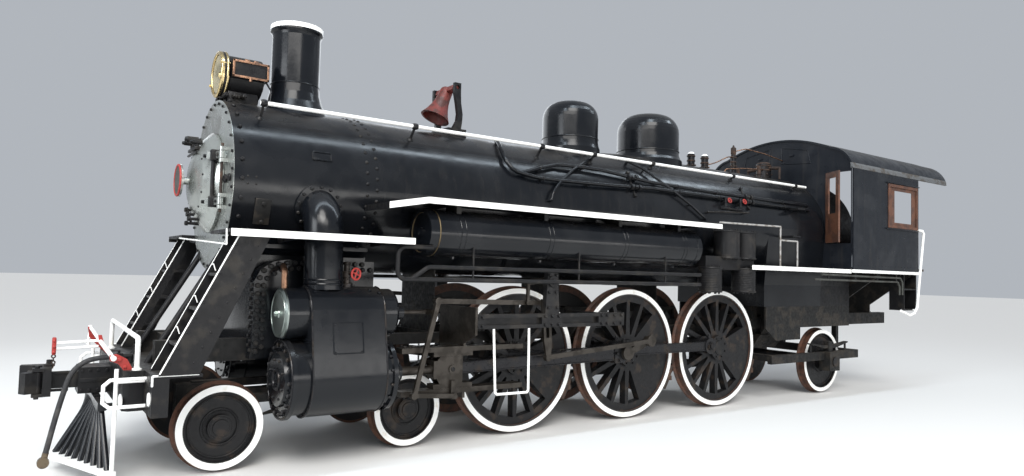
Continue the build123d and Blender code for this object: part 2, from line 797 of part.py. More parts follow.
def case_section():
    """The jacket round the cylinder and valve chest, seen from the front, left side."""
    lean = asin((CYLINDER_CASE_R - VALVE_CASE_R) / (VALVE_Z - CYLINDER_Z))
    chest_half = VALVE_CASE_R * cos(lean)
    chest_z = VALVE_Z + VALVE_CASE_R * sin(lean)
    low_half = CYLINDER_CASE_R * cos(lean)
    low_z = CYLINDER_Z + CYLINDER_CASE_R * sin(lean)
    chest_in = (CYLINDER_Y - chest_half, chest_z)
    chest_out = (CYLINDER_Y + chest_half, chest_z)
    low_in = (CYLINDER_Y - low_half, low_z)
    low_out = (CYLINDER_Y + low_half, low_z)
    over = ThreePointArc(chest_in, (CYLINDER_Y, VALVE_Z + VALVE_CASE_R), chest_out)
    under = ThreePointArc(low_out, (CYLINDER_Y, CYLINDER_Z - CYLINDER_CASE_R), low_in)
    return make_face(over + Line(chest_out, low_out) + under + Line(low_in, chest_in))


jacket = extrude(Plane.YZ.offset(JACKET_REAR) * case_section(), amount=JACKET_FRONT - JACKET_REAR)

saddle = cross_plate(
    [
        (-SADDLE_HALF, FRAME_TOP),
        (-SADDLE_HALF, CHEEK_TOP - 210),
        (-SADDLE_NECK_HALF, CHEEK_TOP - 90),
        (-SADDLE_NECK_HALF, SADDLE_TOP),
        (SADDLE_NECK_HALF, SADDLE_TOP),
        (SADDLE_NECK_HALF, CHEEK_TOP - 90),
        (SADDLE_HALF, CHEEK_TOP - 210),
        (SADDLE_HALF, FRAME_TOP),
    ],
    CYLINDER_REAR,
    SADDLE_FRONT,
)
saddle += block(CYLINDER_REAR, SADDLE_FRONT, -FRAME_IN, FRAME_IN, SADDLE_UNDER, FRAME_TOP)
saddle += rod_z(CENTRE_PLATE_R, CENTRE_PLATE_UNDER, SADDLE_UNDER, TRUCK_PIVOT, 0)
seat = rod_x(SMOKEBOX_R + 28, CYLINDER_REAR + 10, SADDLE_FRONT + 65, 0, BOILER_Z)
saddle += seat & block(
    CYLINDER_REAR, 0, -SADDLE_NECK_HALF - 80, SADDLE_NECK_HALF + 80, CHEEK_TOP - 190, SADDLE_TOP
)
cheek = side_plate(
    [
        (CYLINDER_REAR, CHEEK_UNDER),
        (CYLINDER_REAR, CHEEK_TOP),
        (SADDLE_FRONT - 330, CHEEK_TOP),
        (SADDLE_FRONT - 180, CHEEK_TOP - 25),
        (SADDLE_FRONT - 60, CHEEK_TOP - 105),
        (SADDLE_FRONT, CHEEK_TOP - 220),
        (SADDLE_FRONT, CHEEK_UNDER),
    ],
    FRAME_OUT,
    CHEEK_OUT,
)
frame_slot = block(CYLINDER_REAR - 5, SADDLE_FRONT + 5, FRAME_IN, FRAME_OUT, 900, FRAME_TOP)
barrel_room = rod_x(COVER_R + CASTING_GAP, CYLINDER_REAR - 5, 0, CYLINDER_Y, CYLINDER_Z)
barrel_room += rod_x(VALVE_R + CASTING_GAP, CYLINDER_REAR - 5, 0, CYLINDER_Y, VALVE_Z)
for cheek_side in both_sides(cheek):
    saddle += cheek_side
saddle -= smokebox_solid
for cut_side in both_sides(frame_slot) + both_sides(barrel_room) + both_sides(jacket):
    saddle -= cut_side
save("cylinder_saddle", saddle)

# Each round piece on a cylinder or valve chest: its (x, radius) steps from front to rear
CYLINDER_STEPS = (
    (CYLINDER_FRONT + 80, 0),
    (CYLINDER_FRONT + 80, 250),
    (CYLINDER_FRONT + 45, 262),
    (CYLINDER_FRONT + 45, COVER_R),
    (CYLINDER_FRONT, COVER_R),
    (CYLINDER_FRONT, CYLINDER_R),
    (CYLINDER_REAR + 30, CYLINDER_R),
    (CYLINDER_REAR + 30, CYLINDER_CASE_R),
    (CYLINDER_REAR - 15, CYLINDER_CASE_R),
    (CYLINDER_REAR - 60, 300),
    (CYLINDER_REAR - 90, 110),
    (CYLINDER_REAR - 185, 110),
    (CYLINDER_REAR - 185, PISTON_ROD_R + 7),
    (CYLINDER_REAR, PISTON_ROD_R + 7),
    (CYLINDER_REAR, 0),
)
VALVE_STEPS = (
    (CYLINDER_FRONT + 90, 0),
    (CYLINDER_FRONT + 90, VALVE_R - 20),
    (CYLINDER_FRONT + 75, VALVE_R),
    (CYLINDER_REAR - 40, VALVE_R),
    (CYLINDER_REAR - 70, VALVE_R - 25),
    (CYLINDER_REAR - 90, 80),
    (CYLINDER_REAR - 200, 80),
    (CYLINDER_REAR - 200, 0),
)
cylinder = jacket + turned_x(CYLINDER_STEPS, CYLINDER_Y, CYLINDER_Z)
cylinder += turned_x(VALVE_STEPS, CYLINDER_Y, VALVE_Z)
save("cylinders", both_sides(cylinder))

# Steam pipes from the smokebox down to the valve chests
STEAM_X = -850
STEAM_R = 190
steam_elbow = (STEAM_X, 1005, 2440)
steam_top = (STEAM_X, 590, 2646)
steam_pipe = pipe([(STEAM_X, CYLINDER_Y - 10, 1690), steam_elbow, steam_top], STEAM_R, 300)
steam_flange = pipe([steam_elbow, steam_top], STEAM_R + 60)
steam_flange &= rod_x(SMOKEBOX_R + 26, STEAM_X - 400, STEAM_X + 400, 0, BOILER_Z)
steam_pipe += steam_flange
steam_pipe -= smokebox_solid
steam_pipe -= jacket
steam_pipe -= saddle
save("steam_pipes", both_sides(steam_pipe))

# Smokebox
smokebox = smokebox_solid - rod_x(
    SMOKEBOX_R - SMOKEBOX_WALL, SMOKEBOX_REAR + 30, SMOKEBOX_FRONT - 20, 0, BOILER_Z
)
smokebox -= rod_x(DOOR_R - 40, SMOKEBOX_FRONT - 60, SMOKEBOX_FRONT + 10, 0, DOOR_Z)
smokebox -= rod_z(STACK_BORE, BOILER_Z, BOILER_Z + 1200, STACK_X, 0)
HINGE_Y = 590
HINGE_X = 46
HINGE_R = 30
HINGE_LEVELS = (DOOR_Z + 230, DOOR_Z - 230)
STRAP_HALF = 35
LUG_MIDDLE = 58
LUG_HALF = 18
for hinge_z in HINGE_LEVELS:
    for side in (1, -1):
        low = hinge_z + side * LUG_MIDDLE - LUG_HALF
        high = hinge_z + side * LUG_MIDDLE + LUG_HALF
        smokebox += block(0, HINGE_X, HINGE_Y - HINGE_R, HINGE_Y + HINGE_R, low, high)
        smokebox += rod_z(HINGE_R, low, high, HINGE_X, HINGE_Y)
save("smokebox", smokebox)

DOOR_CROWN = 235
DOOR_PLATE_R = 165
door = turned_x(
    [
        (5, 0),
        (5, DOOR_R),
        (30, DOOR_R),
        (95, 450),
        (165, 340),
        (212, 210),
        (DOOR_CROWN, 80),
        (DOOR_CROWN, 0),
    ],
    0,
    DOOR_Z,
)
door += rod_x(40, DOOR_CROWN - 20, DOOR_CROWN + 70, 0, DOOR_Z)
door += rod_x(DOOR_PLATE_R, DOOR_CROWN + 70, DOOR_CROWN + 95, 0, DOOR_Z)
for hinge_z in HINGE_LEVELS:
    door += flat_plate(
        [(30, HINGE_Y), (62, HINGE_Y), (84, 500), (150, 400), (110, 380), (40, 480)],
        hinge_z - STRAP_HALF,
        hinge_z + STRAP_HALF,
    )
    door += rod_z(HINGE_R, hinge_z - STRAP_HALF, hinge_z + STRAP_HALF, HINGE_X, HINGE_Y)
save("smokebox_door", door)
save("boiler_barrel", barrel)
save("firebox", firebox)

# Ash pan, and the skirts that hang from the firebox above the trailing wheels
PAN_REAR = -9200
PAN_FRONT = -8530
SKIRT_FRONT = -8250
SKIRT_REAR = BACKHEAD_X
SKIRT_UNDER = 1130
SKIRT_THICK = 30
ash_pan = cross_plate(
    [
        (-FIREBOX_BOTTOM_HALF, FIREBOX_BOTTOM),
        (-FIREBOX_BOTTOM_HALF, FIREBOX_BOTTOM - 60),
        (-430, 760),
        (430, 760),
        (FIREBOX_BOTTOM_HALF, FIREBOX_BOTTOM - 60),
        (FIREBOX_BOTTOM_HALF, FIREBOX_BOTTOM),
    ],
    PAN_REAR,
    PAN_FRONT,
)
skirt = block(
    SKIRT_FRONT, SKIRT_REAR, FIREBOX_BOTTOM_HALF - SKIRT_THICK, FIREBOX_BOTTOM_HALF, SKIRT_UNDER,
    FIREBOX_BOTTOM,
)
skirt += side_plate(
    [(SKIRT_FRONT, SKIRT_UNDER), (PAN_REAR, SKIRT_UNDER), (PAN_REAR, 930), (PAN_FRONT, 930)],
    FIREBOX_BOTTOM_HALF - SKIRT_THICK,
    FIREBOX_BOTTOM_HALF,
)
for skirt_side in both_sides(skirt):
    ash_pan += skirt_side
for bay in both_sides(block(PAN_REAR - 50, PAN_FRONT + 50, FRAME_IN - 5, FRAME_OUT + 5, 1000, 1335)):
    ash_pan -= bay
save("ash_pan", ash_pan)


# Stack and domes
def chords(arc, count):
    """Evenly spaced points along an arc, from its start to its end."""
    points = [arc @ (step / count) for step in range(count + 1)]
    return [(point.X, point.Y) for point in points]


stack_base = BOILER_Z + SMOKEBOX_R
STACK_R = 262
STACK_LIP_R = 285
STACK_FOOT_R = 400
foot_low = (STACK_FOOT_R, stack_base - 170)
foot_high = (STACK_FOOT_R, stack_base - 75)
waist = (STACK_R, stack_base + 300)
neck = (STACK_R, STACK_TOP - 120)
lip_low = (STACK_LIP_R, STACK_TOP - 70)
stack_line = [(STACK_BORE, STACK_TOP), (STACK_LIP_R, STACK_TOP)]
stack_line += reversed(chords(TangentArc(neck, lip_low, tangent=(0, 1)), 2))
stack_line += chords(TangentArc(waist, foot_high, tangent=(0, -1)), 4)
stack_line += [foot_low, (STACK_BORE, foot_low[1])]
stack = turned(stack_line, STACK_X)
save("stack", stack - smokebox_solid)

# Each dome: its place, radius, crown height and foot radius
SAND_DOME = (-4850, 402, 4410, 432)
STEAM_DOME = (-6440, 480, 4460, 530)
# Radius of the arc over a dome's crown and of the one at its shoulder, as shares of its own
CROWN_SHARE = 2.2
SHOULDER_SHARE = 0.6


def dome(x, radius, crown, foot):
    """A round-topped dome seated on the boiler."""
    crown_arc = CROWN_SHARE * radius
    shoulder_arc = SHOULDER_SHARE * radius
    # The two arcs touch on the line through their centres
    slope = asin((radius - shoulder_arc) / (crown_arc - shoulder_arc))
    meet = (crown_arc * sin(slope), crown - crown_arc * (1 - cos(slope)))
    shoulder = (radius, meet[1] - shoulder_arc * cos(slope))
    wall_low = (radius, BOILER_Z + FIREBOX_R + 110)
    foot_high = (foot, BOILER_Z + FIREBOX_R - 30)
    outline = chords(TangentArc((0, crown), meet, tangent=(1, 0)), 2)
    outline += chords(TangentArc(meet, shoulder, tangent=(cos(slope), -sin(slope))), 7)[1:]
    outline += chords(TangentArc(wall_low, foot_high, tangent=(0, -1)), 3)
    outline += [(foot, BOILER_Z + 600), (0, BOILER_Z + 600)]
    return turned(outline, x) - barrel


save("domes", dome(*SAND_DOME), dome(*STEAM_DOME))

# Headlight, with a number box on either side
LIGHT_Z = 3925
LIGHT_FRONT = 0
LIGHT_REAR = -455
LIGHT_RING_R = 245
LIGHT_SHELL_R = 215
LIGHT_BORE_R = 205
BOX_HALF = 290
headlight = turned_x(
    [
        (LIGHT_FRONT, 0),
        (LIGHT_FRONT, LIGHT_RING_R),
        (LIGHT_FRONT - 70, LIGHT_RING_R),
        (LIGHT_FRONT - 90, LIGHT_SHELL_R),
        (LIGHT_REAR + 25, LIGHT_SHELL_R),
        (LIGHT_REAR, LIGHT_SHELL_R - 65),
        (LIGHT_REAR, 0),
    ],
    0,
    LIGHT_Z,
)
headlight -= rod_x(LIGHT_BORE_R, LIGHT_FRONT - 60, LIGHT_FRONT + 10, 0, LIGHT_Z)
headlight += block(-90, -400, -110, 110, BOILER_Z + 800, LIGHT_Z - 190) - smokebox_solid
headlight += block(-90, LIGHT_REAR, -BOX_HALF, BOX_HALF, LIGHT_Z - 60, LIGHT_Z + 115)
save("headlight", headlight)

# Bell, leaning with its mouth forwards as in the photograph, and its bracket
BELL_X = -2780
BELL_PIVOT_Z = 4215
BELL_LEAN = 23
BELL_CROWN = 52
BELL_DEPTH = 400
BELL_MOUTH_R = 188
BELL_PIN_R = 22
BELL_YOKE_HALF = 215
BRACKET_IN = 240
BRACKET_OUT = 290
BRACKET_BASE_TOP = 3690
crown_point = (0, BELL_CROWN)
shoulder_point = (84, -10)
mouth_point = (BELL_MOUTH_R, -BELL_DEPTH)
lip_point = (BELL_MOUTH_R - 24, -BELL_DEPTH)
inside_point = (64, -70)
bell_line = chords(ThreePointArc(crown_point, (60, BELL_CROWN - 16), shoulder_point), 4)
bell_line += chords(ThreePointArc(shoulder_point, (114, 0.6 * -BELL_DEPTH), mouth_point), 5)[1:]
bell_line += chords(ThreePointArc(lip_point, (94, 0.6 * -BELL_DEPTH), inside_point), 4)
bell_line += [(0, inside_point[1])]
bell = turned(bell_line)
bell += block(-35, 35, -BELL_YOKE_HALF, BELL_YOKE_HALF, -35, 35)
bell += rod_y(BELL_PIN_R, 28 - BRACKET_OUT, BRACKET_OUT - 28, 0, 0)
save("bell", Pos(BELL_X, 0, BELL_PIVOT_Z) * Rot(0, -BELL_LEAN, 0) * bell)

bell_bracket = block(BELL_X - 130, BELL_X + 130, -300, 300, 3500, BRACKET_BASE_TOP)
# The bowed outline of each post: (x from the pivot, z)
POST_OUTLINE = (
    (60, BRACKET_BASE_TOP),
    (5, 3790),
    (-5, 3880),
    (18, 4020),
    (45, 4140),
    (45, 4270),
    (-45, 4270),
    (-45, 4150),
    (-52, 4020),
    (-78, 3880),
    (-74, 3790),
    (-60, BRACKET_BASE_TOP),
)
post = side_plate([(BELL_X + x, z) for x, z in POST_OUTLINE], BRACKET_IN, BRACKET_OUT)
post -= rod_y(BELL_PIN_R + 5, BRACKET_IN - 20, BRACKET_OUT + 20, BELL_X, BELL_PIVOT_Z)
for leg in both_sides(post):
    bell_bracket += leg
save("bell_bracket", bell_bracket - barrel)

# Running boards: front end, rear end and height of the top, for the left side
BOARDS = (
    (140, -1650, 2240),
    (-1790, -6450, 2672),
    (-7130, CAB_FRONT, 2120),
)
BOARD_IN = 690
RIB_HALF = 8
RIB_SHARES = (0.08, 0.36, 0.64, 0.92)
RESERVOIR_R = 248
RESERVOIR_Y = 1168
RESERVOIR_Z = 2320
RESERVOIR_FRONT = -1870
RESERVOIR_REAR = -6080
STAIR_OUT = 1395
STAIR_IN = 1000
# Compressor ends: place, radius, and underside and top, for the lower and the upper cylinders
COMPRESSOR_Y = 1230
COMPRESSOR_LOWER = ((-6465, 165), (-7225, 170))
COMPRESSOR_UPPER = ((-6830, 185), (-7235, 165))
COMPRESSOR_LOW = (1715, 2075)
COMPRESSOR_HIGH = (2200, 2610)
BOARD_NOTCH = (-7100, -7435)
boards = []
for front, rear, top in BOARDS:
    under = top - BOARD_THICK
    board = block(front, rear, BOARD_IN, BOARD_HALF, under, top)
    board += block(front, rear, BOARD_HALF - 12, BOARD_HALF, top - BOARD_EDGE, top)
    rib_out = BOARD_HALF - 30
    rib = [(BOARD_IN, under), (rib_out, under), (rib_out, under - 20), (BOARD_IN, under - 56)]
    for share in RIB_SHARES:
        rib_x = front + (rear - front) * share
        board += cross_plate(rib, rib_x - RIB_HALF, rib_x + RIB_HALF)
    boards.append(board)
RAMP_FRONT = -1350
RAMP_DROP = 82
board_front, board_rear, board_top = BOARDS[1]
boards[1] += side_plate(
    [
        (RAMP_FRONT, board_top - RAMP_DROP),
        (board_front, board_top),
        (board_front, board_top - BOARD_EDGE),
        (RAMP_FRONT, board_top - RAMP_DROP - BOARD_EDGE),
    ],
    BOARD_IN,
    BOARD_HALF,
)
for hanger_x in (-2250, -3450, -4650, -5750):
    boards[1] += block(
        hanger_x - 28, hanger_x + 28, RESERVOIR_Y - 120, RESERVOIR_Y + 120, 2480, 2650
    )
boards[1] -= rod_x(RESERVOIR_R, RESERVOIR_FRONT + 70, RESERVOIR_REAR - 50, RESERVOIR_Y, RESERVOIR_Z)
boards[2] -= block(*BOARD_NOTCH, COMPRESSOR_Y - 190, BOARD_HALF - 30, 2000, 2200)
stair_head = block(-240, 60, STAIR_IN - 5, STAIR_OUT + 5, BOARDS[0][2] - 140, BOARDS[0][2] - BOARD_THICK)
for cut in (smokebox_solid, barrel, firebox, steam_pipe, stair_head):
    boards = [board - cut for board in boards]
# Two footholds on the firebox side
boards.append(block(-8760, -8960, 800, 1130, 3070, 3095) - firebox)
boards.append(block(-8450, -8650, 900, 1250, 2600, 2625) - firebox)
save("running_boards", *[both_sides(board) for board in boards])

# Front beam, deck and stairs
BEAM_FRONT = 690
BEAM_REAR = 560
BEAM_HALF = 1380
BEAM_UNDER = 640
BUFFER_FRONT = 850
BUFFER_HALF = 980
BUFFER_EASE = 45
beam = block(BEAM_REAR, BEAM_FRONT, -BEAM_HALF, BEAM_HALF, BEAM_UNDER, DECK_TOP - 25)
beam += block(300, BEAM_FRONT, -BEAM_HALF, BEAM_HALF, DECK_TOP - 25, DECK_TOP)
beam += flat_plate(
    [
        (BEAM_FRONT, -BUFFER_HALF),
        (BUFFER_FRONT - BUFFER_EASE, -BUFFER_HALF),
        (BUFFER_FRONT, BUFFER_EASE - BUFFER_HALF),
        (BUFFER_FRONT, BUFFER_HALF - BUFFER_EASE),
        (BUFFER_FRONT - BUFFER_EASE, BUFFER_HALF),
        (BEAM_FRONT, BUFFER_HALF),
    ],
    BEAM_UNDER,
    DECK_TOP,
)

STAIR_TOP = BOARDS[0][2] - BOARD_THICK
STRINGER = 25
TREADS = 3
outer = side_plate(
    [(650, DECK_TOP), (330, DECK_TOP), (-230, STAIR_TOP), (45, STAIR_TOP)],
    STAIR_OUT - STRINGER,
    STAIR_OUT,
)
inner = side_plate(
    [(650, DECK_TOP), (540, DECK_TOP), (-50, STAIR_TOP), (45, STAIR_TOP)],
    STAIR_IN,
    STAIR_IN + STRINGER - 5,
)
stairs = outer + inner
for tread in range(TREADS):
    level = DECK_TOP + 235 + tread * 300
    back = 460 - tread * 150
    stairs += block(back - 140, back + 60, STAIR_IN, STAIR_OUT - 10, level, level + 25)

# Braces from the smokebox front to the deck
brace = pipe([(-60, 430, 2110), (640, 430, 900)], 30)
brace -= smokebox_solid
brace -= block(0, 1000, 0, 1000, 800, DECK_TOP)
for side_brace in both_sides(brace):
    beam += side_brace
save("pilot_beam", beam)

# Pilot: a V of tubes between a bottom rail and a bar on the beam
PILOT_TIP = 1330
PILOT_WING = (925, 1015)
RAIL_LOW = 95
RAIL_HIGH = 150
left_rail, right_rail = both_sides(
    flat_plate(
        [
            (PILOT_TIP, 0),
            PILOT_WING,
            (PILOT_WING[0] - 50, PILOT_WING[1] - 20),
            (PILOT_TIP - 90, 0),
        ],
        RAIL_LOW,
        RAIL_HIGH,
    )
)
pilot_rail = left_rail + right_rail
save("pilot_rail", pilot_rail)
HEAD_BAR = (940, 1005)
HEAD_HALF = 690
HEAD_LOW = 610
HEAD_HIGH = 680
TUBE_R = 24
TUBES = 8
pilot = block(*HEAD_BAR, -HEAD_HALF, HEAD_HALF, HEAD_LOW, HEAD_HIGH)
for arm in both_sides(block(BEAM_FRONT, HEAD_BAR[0], 470, 540, BEAM_UNDER - 50, BEAM_UNDER)):
    pilot += arm
for count in range(TUBES + 1):
    share = (count + 0.2) / (TUBES + 0.9)
    foot_x = PILOT_TIP - 45 + (PILOT_WING[0] - PILOT_TIP + 20) * share
    foot = (foot_x, PILOT_WING[1] * share, RAIL_LOW + 20)
    head = (sum(HEAD_BAR) / 2, 20 + (HEAD_HALF - 50) * share, (HEAD_LOW + HEAD_HIGH) / 2)
    for tube in both_sides(pipe([foot, head], TUBE_R)):
        pilot += tube - pilot_rail
save("pilot", pilot)

# Grab irons and posts at the front corners
POST_X = 908
IRON_Y = 1080
IRON_FRONT = 1010
IRON_LEVELS = (700, 930)
post = rod_z(17, RAIL_HIGH, 1010, POST_X, STAIR_IN)
post += rod_x(14, BEAM_FRONT, POST_X, STAIR_IN, 900)
low, high = IRON_LEVELS
iron = mitred_pipe(
    [
        (BEAM_FRONT, IRON_Y, high),
        (IRON_FRONT - 50, IRON_Y, high),
        (IRON_FRONT, IRON_Y, high - 45),
        (IRON_FRONT, IRON_Y, low + 45),
        (IRON_FRONT - 50, IRON_Y, low),
        (BEAM_FRONT, IRON_Y, low),
    ],
    15,
)
save("grab_irons", both_sides(post), both_sides(iron), gear_steps)

# Coupler, drawn back from its foremost point
COUPLER_LOW = 680
COUPLER_HIGH = 940
SHANK_HALF = 70
KNUCKLE_X = COUPLER_REACH - 130
KNUCKLE_Y = 120
KNUCKLE_PIN_R = 20
LUG_THICK = 30
coupler = block(BUFFER_FRONT, COUPLER_REACH - 170, -SHANK_HALF, SHANK_HALF, 740, 880)
coupler += block(BUFFER_FRONT, BUFFER_FRONT + 270, -155, 155, 690, 930)
# Outlines seen from above: (distance behind the foremost point, y)
HEAD_OUTLINE = (
    (240, 150),
    (240, -150),
    (190, -185),
    (15, -200),
    (0, -120),
    (100, -70),
    (174, -60),
    (174, 150),
)
LUG_OUTLINE = ((180, 70), (180, 160), (92, 160), (92, 80))
KNUCKLE_OUTLINE = ((130, 156), (40, 188), (0, 125), (55, 70), (65, -30), (112, -30), (120, 86))


def from_reach(outline):
    """An outline of the coupler, moved to its place."""
    return [(COUPLER_REACH - back, y) for back, y in outline]


coupler += flat_plate(from_reach(HEAD_OUTLINE), COUPLER_LOW, COUPLER_HIGH)
for low in (COUPLER_LOW, COUPLER_HIGH - LUG_THICK):
    coupler += flat_plate(from_reach(LUG_OUTLINE), low, low + LUG_THICK)
coupler -= rod_z(KNUCKLE_PIN_R + 1, COUPLER_LOW - 10, COUPLER_HIGH + 10, KNUCKLE_X, KNUCKLE_Y)
save("coupler_body", coupler)
knuckle_low = COUPLER_LOW + LUG_THICK + 6
knuckle_high = COUPLER_HIGH - LUG_THICK - 6
knuckle = flat_plate(from_reach(KNUCKLE_OUTLINE), knuckle_low, knuckle_high)
knuckle += rod_z(36, knuckle_low, knuckle_high, KNUCKLE_X, KNUCKLE_Y)
knuckle += rod_z(KNUCKLE_PIN_R, COUPLER_LOW - 20, COUPLER_HIGH + 20, KNUCKLE_X, KNUCKLE_Y)
save("coupler_knuckle", knuckle)

# Brake pipe end, hose and its coupling
HOSE_Y = 430
HOSE_Z = 1050
COCK_X = 735
HOSE_START = 880
angle_cock = mitred_pipe(
    [(COCK_X, HOSE_Y, DECK_TOP), (COCK_X, HOSE_Y, HOSE_Z), (HOSE_START, HOSE_Y, HOSE_Z)], 24
)
angle_cock += block(800, 860, HOSE_Y - 32, HOSE_Y + 32, HOSE_Z - 32, HOSE_Z + 32)
angle_cock += rod_z(12, HOSE_Z, HOSE_Z + 60, 830, HOSE_Y)
angle_cock += block(820, 940, HOSE_Y - 8, HOSE_Y + 8, HOSE_Z + 50, HOSE_Z + 60)
# The hose's route, and the radius of the arc at each of its corners
HOSE_R = 23
HOSE_PATH = (
    (HOSE_START, HOSE_Y, HOSE_Z),
    (1010, HOSE_Y, HOSE_Z),
    (1125, HOSE_Y, 1003),
    (1203, HOSE_Y, 917),
    (1252, HOSE_Y, 741),
    (1309, HOSE_Y, 488),
    (1355, HOSE_Y, 240),
)
HOSE_ARC_SHARE = 0.45
hose_runs = [Vector(*end) - Vector(*start) for start, end in zip(HOSE_PATH, HOSE_PATH[1:])]
hose_bends = []
for run, following in zip(hose_runs, hose_runs[1:]):
    half_turn = radians(run.get_angle(following)) / 2
    hose_bends.append(HOSE_ARC_SHARE * min(run.length, following.length) / tan(half_turn))
hose_line = FilletPolyline(*HOSE_PATH, radius=hose_bends)
print("hose length, mm:", round(hose_line.length))
hose = sweep(Plane(origin=hose_line @ 0, z_dir=hose_line % 0) * Circle(HOSE_R), path=hose_line)
save("brake_hose", hose)
GLADHAND_NECK = 60
hose_end = Vector(*HOSE_PATH[-1])
nose = hose_end + hose_runs[-1].normalized() * GLADHAND_NECK
gladhand = pipe([hose_end, nose], HOSE_R + 3)
gladhand += rod_y(46, HOSE_Y - 30, HOSE_Y + 30, nose.X + 6, nose.Z - 25)
save("hose_gladhand", gladhand)

# Air reservoirs
END_R = RESERVOIR_R - 33
END_STEP = 20
reservoir = turned_x(
    [
        (RESERVOIR_FRONT, 0),
        (RESERVOIR_FRONT, END_R),
        (RESERVOIR_FRONT + END_STEP, END_R),
        (RESERVOIR_FRONT + END_STEP, RESERVOIR_R),
        (RESERVOIR_REAR, RESERVOIR_R),
        (RESERVOIR_REAR, END_R),
        (RESERVOIR_REAR + END_STEP, END_R),
        (RESERVOIR_REAR + END_STEP, 0),
    ],
    RESERVOIR_Y,
    RESERVOIR_Z,
)
save("air_reservoirs", both_sides(reservoir))

# Two long pipes under each reservoir, hung from it, and the brake pipe's end on the beam
PIPE_Y = 1372
PIPE_R = 24
PIPE_FRONT = -1500
PIPE_REAR = -6090
PIPE_HEAD = 2155
PIPE_LEVELS = (1822, 1952)
PIPE_BEND = 90
low, high = PIPE_LEVELS
run = pipe(
    [
        (RESERVOIR_FRONT - 30, PIPE_Y, PIPE_HEAD),
        (PIPE_FRONT, PIPE_Y, PIPE_HEAD),
        (PIPE_FRONT, PIPE_Y, low),
        (PIPE_REAR, PIPE_Y, low),
    ],
    PIPE_R,
    PIPE_BEND,
)
run += pipe(
    [
        (PIPE_REAR, PIPE_Y, high),
        (PIPE_FRONT - 350, PIPE_Y, high),
        (PIPE_FRONT - 150, PIPE_Y, low),
    ],
    PIPE_R,
    PIPE_BEND,
)
for hanger_x in (-2400, -3900, -5400):
    run += block(hanger_x - 9, hanger_x + 9, PIPE_Y - 14, PIPE_Y + 2, low, 2240)
save("pipework", both_sides(run - reservoir), angle_cock)

# Air compressor
compressor = block(-6300, -7390, COMPRESSOR_Y - 60, COMPRESSOR_Y + 60, 2040, 2230)
compressor += block(-6400, -6990, 600, COMPRESSOR_Y, 2060, 2200) - barrel
for ends, (low, high) in ((COMPRESSOR_LOWER, COMPRESSOR_LOW), (COMPRESSOR_UPPER, COMPRESSOR_HIGH)):
    for centre, radius in ends:
        compressor += rod_z(radius, low, high, centre, COMPRESSOR_Y)
save("air_compressor", compressor)

# Cab
KNEE_Y = 1080
KNEE_Z = 4230
HAUNCH_Y = 1350
HAUNCH_Z = 4095


def roof_section(drop):
    """The roof line, seen from the front; drop is measured inwards from its outside."""
    eave = (CAB_HALF - drop, CAB_EAVE)
    haunch = (HAUNCH_Y - drop * 0.9, HAUNCH_Z - drop * 0.8)
    knee = (KNEE_Y - drop * 0.6, KNEE_Z - drop)
    over = ThreePointArc((-knee[0], knee[1]), (0, CAB_CROWN - drop), knee)
    left = ThreePointArc(knee, haunch, eave)
    right = ThreePointArc((-eave[0], eave[1]), (-haunch[0], haunch[1]), (-knee[0], knee[1]))
    return right, over, left


def cab_outline(drop, bottom):
    """The whole front of the cab as a face."""
    right, over, left = roof_section(drop)
    half = CAB_HALF - drop
    legs = Polyline((half, CAB_EAVE), (half, bottom), (-half, bottom), (-half, CAB_EAVE))
    return make_face(right + over + left + legs)


ROOF_SKIRT = 60
roof_outer = cab_outline(0, CAB_EAVE - ROOF_SKIRT)
roof_inner = cab_outline(ROOF_THICK, CAB_EAVE - ROOF_SKIRT - 40)
roof_face = Plane.YZ.offset(ROOF_REAR) * (roof_outer - roof_inner)
roof = extrude(roof_face, amount=CAB_FRONT + 20 - ROOF_REAR, dir=(1, 0, 0))
save("cab_roof", roof)

WINDOW_FRONT = -10940
WINDOW_REAR = -11990
WINDOW_SILL = 2930
WINDOW_HEAD = 3630
WALL_IN = CAB_HALF - CAB_WALL
side = block(CAB_FRONT - CAB_WALL, CAB_REAR, WALL_IN, CAB_HALF, CAB_BOTTOM, CAB_EAVE - ROOF_SKIRT)
side -= block(WINDOW_REAR, WINDOW_FRONT, WALL_IN - 25, CAB_HALF + 10, WINDOW_SILL, WINDOW_HEAD)
save("cab_sides", both_sides(side))

DOOR_IN = CAB_HALF - 465
DOOR_OUT = CAB_HALF - 35
DOOR_LOW = 2560
DOOR_HIGH = 3780
front_face = Plane.YZ.offset(CAB_FRONT - CAB_WALL) * cab_outline(ROOF_THICK, CAB_BOTTOM)
cab_front = extrude(front_face, amount=CAB_WALL, dir=(1, 0, 0))
cab_front -= extrude(
    Plane.YZ.offset(CAB_FRONT - 100) * firebox_section(), amount=200, dir=(1, 0, 0)
)
doorway = block(CAB_FRONT - 60, CAB_FRONT + 20, DOOR_IN, DOOR_OUT, DOOR_LOW, DOOR_HIGH)
for hole in both_sides(doorway):
    cab_front -= hole
save("cab_front", cab_front)

save("cab_floor", block(BACKHEAD_X, CAB_REAR - 250, -WALL_IN, WALL_IN, FLOOR_UNDER, FLOOR_TOP))
save("backhead", boiler_inside_cab)

LEAF_ANGLE = 30
LEAF_WIDTH = 410
LEAF_THICK = 28
LEAF_GAP = 8
STILE = 90
leaf = block(0, LEAF_THICK, 0, LEAF_WIDTH, DOOR_LOW + LEAF_GAP, DOOR_HIGH - LEAF_GAP)
leaf -= block(-5, LEAF_THICK + 5, STILE, LEAF_WIDTH - STILE, DOOR_LOW + 500, DOOR_HIGH - 110)
leaf = Pos(CAB_FRONT + 10, DOOR_IN + LEAF_GAP, 0) * Rot(0, 0, -LEAF_ANGLE) * leaf
save("cab_front_door", leaf)

